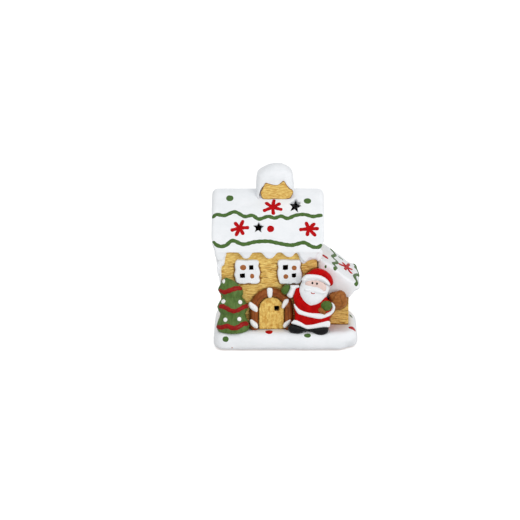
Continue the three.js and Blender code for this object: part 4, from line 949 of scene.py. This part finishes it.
front_pieces = [snow_roof, snowy_base, arch, fir, wing_snow, coat, head, hat, cuff_up, mitten_up,
                blocks["window_left"], blocks["window_right"], door]
refine(walls, lambda at, normal: normal.y < -0.4 and at.y < FRONT_OF_WALL and 12 < at.z < 74)
marks = scratch(walls, FORWARD, *WALLS_FRONT)
marks = np.maximum(marks, scratch(walls, TO_BACK, *WALLS_BACK))
marks = np.maximum(marks, scratch(walls, TO_LEFT, *WALLS_LEFT, half=0.9))
marks = np.maximum(marks, scratch(walls, TO_RIGHT, *WALLS_RIGHT, half=0.9))
edging = gathered(walls, front_pieces, *WALLS_FRONT)
for box in (WALLS_BACK_EDGE, WALLS_LEFT_EDGE, WALLS_RIGHT_EDGE):
    edging = np.maximum(edging, gathered(walls, [snow_roof, snowy_base, wing, wing_snow], *box))
keep_wash_and_shade(walls, marks * 0.85 + edging * 1.05)

refine(wing, lambda at, normal: normal.y < -0.4 and at.y < FRONT_OF_WING)
marks = scratch(wing, FORWARD, *WING_FRONT)
marks = np.maximum(marks, scratch(wing, TO_RIGHT, *WING_RIGHT, half=0.8))
marks = np.maximum(marks, scratch(wing, TO_BACK, *WING_BACK, half=0.8))
edging = gathered(wing, [wing_snow, snowy_base, sack, coat], *WHOLE_WING)
for box in (WING_BACK_EDGE, WING_RIGHT):
    edging = np.maximum(edging, gathered(wing, [wing_snow, snowy_base], *box))
keep_wash_and_shade(wing, marks * 0.75 + edging * 1.1)

# The bare patch on the chimney: the snow has slipped off it, and its edge has caught the wash.
PATCH = [(462, 288), (474, 262), (486, 238), (503, 214), (530, 220), (565, 228), (600, 226), (620, 212),
         (640, 198), (652, 210), (668, 236), (686, 256), (706, 266), (714, 284), (706, 306), (690, 330),
         (660, 338), (620, 341), (560, 337), (505, 342), (478, 332), (466, 310)]
PATCH_SLOPE = {"lean": -0.17, "foot": 127}
patch = soft_form("bare_chimney_patch", PATCH, upright(-7.0, **PATCH_SLOPE), upright(-10.7, **PATCH_SLOPE),
                  upright(-11.2, **PATCH_SLOPE), roll=1.6, grain=0.3)
marks = scratch(patch, FORWARD, *PATCH_FRONT, spacing=1.9, half=0.4, depth=0.22)
spots, _ = places(patch)
in_view = np.column_stack([spots[:, 0], spots @ np.array(tuple(look_up))])
border, _ = smooth_path(in_plane(PATCH, TO_VIEWER, NEAR_FRONT), RIM_STEP, closed=True)
keep_wash_and_shade(patch, marks * 0.4 + 1.2 - rim_distance(in_view, border) / 0.8)
dressed(patch, gingerbread, "gingerbread_clay")

marks = scratch(door, FORWARD, *DOOR_FRONT, spacing=2.2, half=0.45, up_and_down=True)
edging = gathered(door, [arch, snowy_base], *DOOR_FRONT, reach=1.4)
keep_wash_and_shade(door, marks * 0.45 + edging)

# The snow is tinted ochre-brown close to where it meets the gingerbread.
keep_wash_and_shade(snowy_base, 0.45 * gathered(snowy_base, [walls, wing], *TOP_OF_BASE, reach=3.5))
keep_wash_and_shade(snow_roof, 0.5 * gathered(snow_roof, [walls], *FRONT_EAVE, reach=1.0))
keep_wash_and_shade(wing_snow, 0.6 * gathered(wing_snow, [wing, walls], *WING_EAVE, reach=1.0))

dressed(snowy_base, snow, "snow_glaze", "base_plinth")
dressed(walls, gingerbread, "gingerbread_clay", "house_walls")
dressed(snow_roof, snow, "snow_glaze", "main_roof")
dressed(chimney, gingerbread, "gingerbread_clay", "chimney_stack")
dressed(chimney_heap, snow, "snow_glaze", "chimney_snow")
dressed(wing, gingerbread, "gingerbread_clay", "wing_walls")
dressed(wing_snow, snow, "snow_glaze", "wing_roof")
dressed(door, door_clay, "gingerbread_clay", "door_panel")
dressed(arch, chocolate, "chocolate_clay", "door_arch")
dressed(fir, fir_green, "fir_green_paint", "fir_tree")

# Icing strokes across the arch: thick, short and rounded, piped by hand.
BARS = {
    "icing_bar_1": [(380, 1265), (395, 1257), (420, 1273), (441, 1294), (444, 1318), (432, 1327), (410, 1319),
                    (388, 1296)],
    "icing_bar_2": [(371, 1136), (384, 1124), (405, 1134), (435, 1158), (442, 1180), (437, 1201), (420, 1199),
                    (392, 1181), (374, 1160)],
    "icing_bar_3": [(514, 1022), (534, 1015), (553, 1022), (556, 1050), (551, 1080), (540, 1093), (523, 1089),
                    (514, 1060)],
    "icing_bar_4": [(640, 1114), (658, 1101), (679, 1105), (675, 1130), (656, 1156), (640, 1174), (627, 1173),
                    (625, 1155)],
    "icing_bar_5": [(640, 1289), (665, 1269), (688, 1257), (697, 1262), (691, 1286), (671, 1309), (650, 1323),
                    (635, 1315)],
}
for node, outline in BARS.items():
    bar = soft_form(node + "_stroke", outline, upright(-36.0), upright(-37.4), upright(-39.0), roll=2.0,
                    grain=0.25)
    dressed(bar, icing, "icing_paint", node)

# Snow that has slid down both corners of the front, over the gingerbread.
CORNER_SNOW = {
    "left_corner_snow": [(95, 668), (101, 704), (112, 735), (122, 785), (128, 828), (140, 852), (144, 900),
                         (148, 955), (153, 1000), (166, 1000), (165, 930), (163, 885), (168, 852), (182, 843),
                         (190, 818), (195, 780), (202, 752), (165, 728)],
    "right_corner_snow": [(735, 738), (752, 765), (762, 792), (774, 820), (790, 832), (806, 826), (822, 812),
                          (846, 803), (868, 799), (888, 801), (905, 815), (925, 800), (938, 760), (930, 725),
                          (850, 715), (780, 720)],
}
for name, outline in CORNER_SNOW.items():
    slide = soft_form(name, outline, upright(-29.0), upright(-34.0), upright(-36.2), roll=2.4, smoothing=6)
    dressed(slide, snow, "snow_glaze")

LAMP_HOLE_X = -15
LAMP_HOLE_REACH = 26


def unpainted(at, normal):
    """The base's underside, and the hole that the lamp unit sits in."""
    underside = at.z < 2 and normal.z < -0.97
    near_hole = at.z < 16 and math.hypot(at.x - LAMP_HOLE_X, at.y) < LAMP_HOLE_REACH
    return underside or near_hole and normal.z < 0.6


second_finish(snowy_base, bare_clay, unpainted)
# The light chamber inside the walls isn't painted either.
second_finish(walls, bare_clay, lambda at, normal: abs(at.y) < 29 and -53 < at.x < 23.5)


# Painted marks

# Half the width of each kind of stroke, in millimetres, and how proud the thicker ones stand.
LINE_WIDTH = 1.85
ARM_WIDTH = 1.7
WING_LINE_WIDTH = 1.7
WING_ARM_WIDTH = 1.5
GARLAND_WIDTH = 2.1
SMILE_WIDTH = 0.45
WING_RISE = 0.6
GARLAND_RISE = 0.9

UPPER_LINE = [(88, 484), (106, 468), (130, 455), (190, 462), (265, 435), (340, 470), (400, 462), (450, 490),
              (520, 470), (570, 482), (620, 468), (670, 485), (730, 462), (800, 455), (860, 470), (905, 464),
              (940, 461)]
LOWER_LINE = [(88, 660), (105, 672), (130, 690), (160, 700), (200, 690), (250, 655), (330, 683), (420, 665),
              (520, 660), (600, 675), (700, 690), (790, 670), (840, 692), (870, 705), (905, 705), (936, 684)]
# Each asterisk: its centre, and the ends of its six arms, going round.
ASTERISKS = [
    ((557, 398), [(568, 338), (618, 368), (632, 420), (563, 460), (480, 430), (497, 362)]),
    ((303, 560), [(332, 497), (378, 555), (335, 612), (272, 622), (232, 578), (262, 513)]),
    ((835, 565), [(808, 510), (882, 520), (912, 563), (888, 622), (818, 622), (757, 572)]),
]

roof = surface(snow_roof)
green = [dab(roof, 228, 331, 29, 25), dab(roof, 822, 352, 29, 23)]
red = [dab(roof, 540, 565, 28, 28)]
# The far slope has the same pattern as the near one.
for moved in (list, on_far_side):
    for line in (UPPER_LINE, LOWER_LINE):
        green.append(brush_stroke(roof, moved(seen_on(roof, *line)), LINE_WIDTH))
    for centre, ends in ASTERISKS:
        red += asterisk(roof, centre, ends, ARM_WIDTH, moved)
dressed(joined("roof_green_marks", green), line_green, "fir_green_paint")
dressed(joined("roof_red_marks", red), mark_red, "coat_red_paint")

on_wing = surface(wing_snow)
WING_LINES = [
    [(998, 717), (1035, 762), (1012, 779), (1051, 819), (1019, 832), (1042, 857), (1023, 877)],
    [(1173, 832), (1192, 851), (1192, 867), (1214, 918), (1183, 924), (1202, 972), (1183, 998)],
]
WING_ASTERISK = ((1121, 857), [(1085, 822), (1140, 835), (1167, 878), (1160, 908), (1109, 878), (1061, 834)])
green = [brush_stroke(on_wing, seen_on(on_wing, *line), WING_LINE_WIDTH, WING_RISE) for line in WING_LINES]
green += [dab(on_wing, 1084, 779, 26, 15, WING_RISE, tilt=0.6), dab(on_wing, 961, 854, 9, 14)]
red = [dab(on_wing, 958, 767, 27, 16, rise=0.7, tilt=0.5)]
red += asterisk(on_wing, *WING_ASTERISK, WING_ARM_WIDTH, rise=0.8)
dressed(joined("wing_green_marks", green), line_green, "fir_green_paint")
dressed(joined("wing_red_marks", red), mark_red, "coat_red_paint")

on_base = surface(snowy_base)
green = [dab(on_base, 196, 1409, 24, 24), dab(on_base, 822, 1381, 27, 18),
         dab(on_base, 1155, 1232, 17, 3, tilt=0.9)]
red = [dab(on_base, 528, 1357, 30, 20), dab(on_base, 1168, 1327, 25, 10, rise=0.6, tilt=0.8)]
chips = [dab(on_base, 790, 1490, 14, 4, rise=0.12), dab(on_base, 245, 1474, 6, 6, rise=0.12)]
dressed(joined("base_green_marks", green), line_green, "fir_green_paint")
dressed(joined("base_red_marks", red), mark_red, "coat_red_paint")
dressed(joined("base_paint_chips", chips), bare_clay, "gingerbread_clay")

on_fir = surface(fir)
GARLANDS = [
    [(146, 1032), (165, 1045), (185, 1050), (205, 1045), (225, 1038), (250, 1028), (275, 1020), (300, 1018),
     (320, 1022)],
    [(130, 1155), (155, 1158), (180, 1162), (205, 1175), (235, 1190), (262, 1195), (290, 1188), (315, 1175),
     (345, 1160), (366, 1155)],
    [(116, 1298), (135, 1315), (160, 1320), (190, 1312), (215, 1310), (240, 1322), (270, 1325), (300, 1312),
     (325, 1295), (345, 1290), (368, 1292)],
]
BAUBLES = [(182, 966), (178, 1120), (308, 1125), (193, 1260), (301, 1255)]
garlands = [brush_stroke(on_fir, seen_on(on_fir, *line), GARLAND_WIDTH, GARLAND_RISE) for line in GARLANDS]
dressed(joined("tree_garlands", garlands), garland_red, "coat_red_paint")
baubles = [dab(on_fir, u, v, 16, 17, rise=0.6) for u, v in BAUBLES]
dressed(joined("tree_baubles", baubles), icing, "icing_paint")

for node, panes in PAINTED_PANES.items():
    on_block = surface(blocks[node])
    panes = [dab(on_block, *pane, rise=0.25) for pane in panes]
    dressed(joined(node + "_painted_panes", panes), pane_brown, "chocolate_clay")

on_face = surface(face)
eyes = [dab(on_face, 860, 979, 8, 10, rise=0.45), dab(on_face, 895, 984, 8, 10, rise=0.45)]
dressed(joined("eyes", eyes), boot_black, "boot_black_paint")
on_beard = surface(head, moustache)
SMILE = [(848, 1050), (856, 1058), (866, 1061), (880, 1056)]
smile = brush_stroke(on_beard, seen_on(on_beard, *SMILE), SMILE_WIDTH, step=0.25)
dressed(joined("smile", [smile]), smile_red, "coat_red_paint")


# Crisp holes: stars through the roof, the peephole through the door, and the panes through the wall

STAR_WAIST = 0.42
STARS = [((447, 556), 44, -1.5), ((727, 394), 51, -1.4)]
for (u, v), size, turn in STARS:
    points = []
    for i in range(10):
        reach = size if i % 2 == 0 else size * STAR_WAIST
        angle = turn + i * math.pi / 5
        points.append((u + reach * math.cos(angle), v + reach * math.sin(angle)))
    spot = seen_on(roof, (u + size * 1.2, v))[0]
    punched(snow_roof, [points], TO_VIEWER, spot.dot(-look) / MM + 2, 22)
PEEPHOLE = [(567, 1156), (599, 1153), (600, 1184), (590, 1188), (568, 1186)]
DOOR_DEPTH = 47
# The peephole's and the panes' sides are painted black, as painted shade in the holes.
punched(door, [PEEPHOLE], TO_VIEWER, DOOR_DEPTH, 8, rim=boot_black)
punched(walls, [PEEPHOLE], TO_VIEWER, DOOR_DEPTH, 25, rim=boot_black)
panes = PIERCED_PANES["window_left"] + PIERCED_PANES["window_right"]
punched(walls, panes, TO_FRONT, 33.0, 8, rim=boot_black)


# The lamp unit and the pads keep their CAD shapes, each in its own material. Their finest grains are drawn a
# few times coarser than the real ones, so that they show.

# White injection-moulded plastic: even, with a fine spark-eroded grain and a soft sheen.
white_plastic = worked("white_moulded_abs", "#f0efea", "#eae9e3", 0.42, 0.25, 0.01, IOR=1.54)
# Black plastic of the switch knob, the same process.
black_plastic = worked("black_moulded_abs", "#1f1f21", "#19191b", 0.4, 0.25, 0.01, IOR=1.54)
# Glass-fibre board under green solder mask: glossy, with a faint weave.
board_green = worked("green_solder_mask", "#1f6138", "#1a5230", 0.25, 0.5, 0.006, IOR=1.52)
# Milky silicone: soft, dull and slightly see-through.
silicone = worked("milky_silicone_rubber", "#d9d9d4", "#cfcfca", 0.6, 0.6, 0.01, IOR=1.41,
                  Subsurface_Weight=0.3, Subsurface_Scale=0.002)
# Warm-white lamp: cloudy cast epoxy that passes some light.
lamp_epoxy = worked("cloudy_cast_epoxy", "#f8f2dc", "#f2ead0", 0.2, 1.2, 0.004, IOR=1.55,
                    Transmission_Weight=0.45)
# Resistor: lacquered ceramic body.
resistor_tan = worked("lacquered_ceramic", "#cfb088", "#c3a279", 0.3, 0.5, 0.01, IOR=1.5)
# Nickel plate on pressed steel: bright, with faint polishing lines.
nickel = worked("nickel_plated_steel", "#cfccc5", "#c2bfb8", 0.24, 0.12, 0.004, (30, 1, 1), Metallic=1.0)
# Spring steel, drawn and left bare: greyer and duller than the nickel.
spring = worked("drawn_spring_steel", "#b9b7b3", "#a5a39f", 0.36, 0.1, 0.004, (1, 20, 1), Metallic=1.0)
# Closed-cell foam pads: dark, matt and pitted.
foam = worked("closed_cell_foam", "#4a4a4c", "#39393b", 0.9, 0.3, 0.12, IOR=1.45)

UNIT_FINISHES = {
    "unit_base": white_plastic, "unit_housing": white_plastic, "battery_cover": white_plastic,
    "switch_knob": black_plastic, "circuit_board": board_green, "grip_ring": silicone,
    "led_lamp": lamp_epoxy, "resistor": resistor_tan, "coin_cell": nickel, "switch_body": nickel,
    "unit_screw_1": nickel, "unit_screw_2": nickel, "contact_spring": spring, "positive_clip": spring,
    "pad_front_left": foam, "pad_front_right": foam, "pad_back_left": foam, "pad_back_right": foam,
}
for node, finish in UNIT_FINISHES.items():
    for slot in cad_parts[node].material_slots:
        slot.material = finish


# Light and floor

# The floor is white paper that glows a little for the camera alone, and it's clear when seen from below.
FLOOR_GLOW = 0.5
bpy.ops.object.select_all(action="DESELECT")
bpy.ops.mesh.primitive_plane_add(size=6, location=(0, 0, 0))
floor = bpy.context.object
floor.name = "pale_floor"
floor_paper, nodes = material("white_paper")
paper = add(nodes, "ShaderNodeBsdfDiffuse", sockets={"Color": linear("#e6e6e6")})
seen = add(nodes, "ShaderNodeLightPath")
lift = add(nodes, "ShaderNodeMath", {"operation": "MULTIPLY"}, {
    0: seen.outputs["Is Camera Ray"], 1: FLOOR_GLOW})
glow = add(nodes, "ShaderNodeEmission", sockets={"Color": linear("#ffffff"), "Strength": lift.outputs[0]})
both = add(nodes, "ShaderNodeAddShader", sockets={0: paper.outputs[0], 1: glow.outputs[0]})
clear = add(nodes, "ShaderNodeBsdfTransparent")
below = add(nodes, "ShaderNodeNewGeometry").outputs["Backfacing"]
open_below = add(nodes, "ShaderNodeMixShader", sockets={0: below, 1: both.outputs[0], 2: clear.outputs[0]})
add(nodes, "ShaderNodeOutputMaterial", sockets={"Surface": open_below.outputs[0]})
floor.data.materials.append(floor_paper)

# The room is an even white. The camera and clear reflections see it brighter than it lights the clay.
ROOM_LIGHT = 0.74
ROOM_SEEN = 0.94
world = bpy.data.worlds.new("soft_white_room")
bpy.context.scene.world = world
world.use_nodes = True
world.node_tree.nodes.clear()
ray = add(world.node_tree, "ShaderNodeLightPath")
direct = add(world.node_tree, "ShaderNodeMath", {"operation": "MAXIMUM"}, {
    0: ray.outputs["Is Camera Ray"], 1: ray.outputs["Is Glossy Ray"]})
shown = add(world.node_tree, "ShaderNodeMath", {"operation": "MAXIMUM"}, {
    0: direct.outputs[0], 1: ray.outputs["Is Transmission Ray"]})
strength = add(world.node_tree, "ShaderNodeMapRange", sockets={
    "Value": shown.outputs[0], "To Min": ROOM_LIGHT, "To Max": ROOM_SEEN})
sky = add(world.node_tree, "ShaderNodeBackground", sockets={
    "Color": linear("#ffffff"), "Strength": strength.outputs[0]})
add(world.node_tree, "ShaderNodeOutputWorld", sockets={"Surface": sky.outputs[0]})


def softbox(name, place, size, power):
    """A round soft lamp that points at the middle of the house."""
    bpy.ops.object.select_all(action="DESELECT")
    bpy.ops.object.light_add(type="AREA", location=place)
    lamp = bpy.context.object
    lamp.name = name
    lamp.data.shape = "DISK"
    lamp.data.size = size
    lamp.data.energy = power
    lamp.rotation_euler = (Vector((0, 0, 0.08)) - Vector(place)).to_track_quat("-Z", "Y").to_euler()


softbox("key_softbox", (-0.5, -0.9, 1.6), size=1.0, power=4)
softbox("fill_softbox", (1.0, -1.3, 0.4), size=1.0, power=9)

bpy.context.scene.view_settings.view_transform = "Standard"
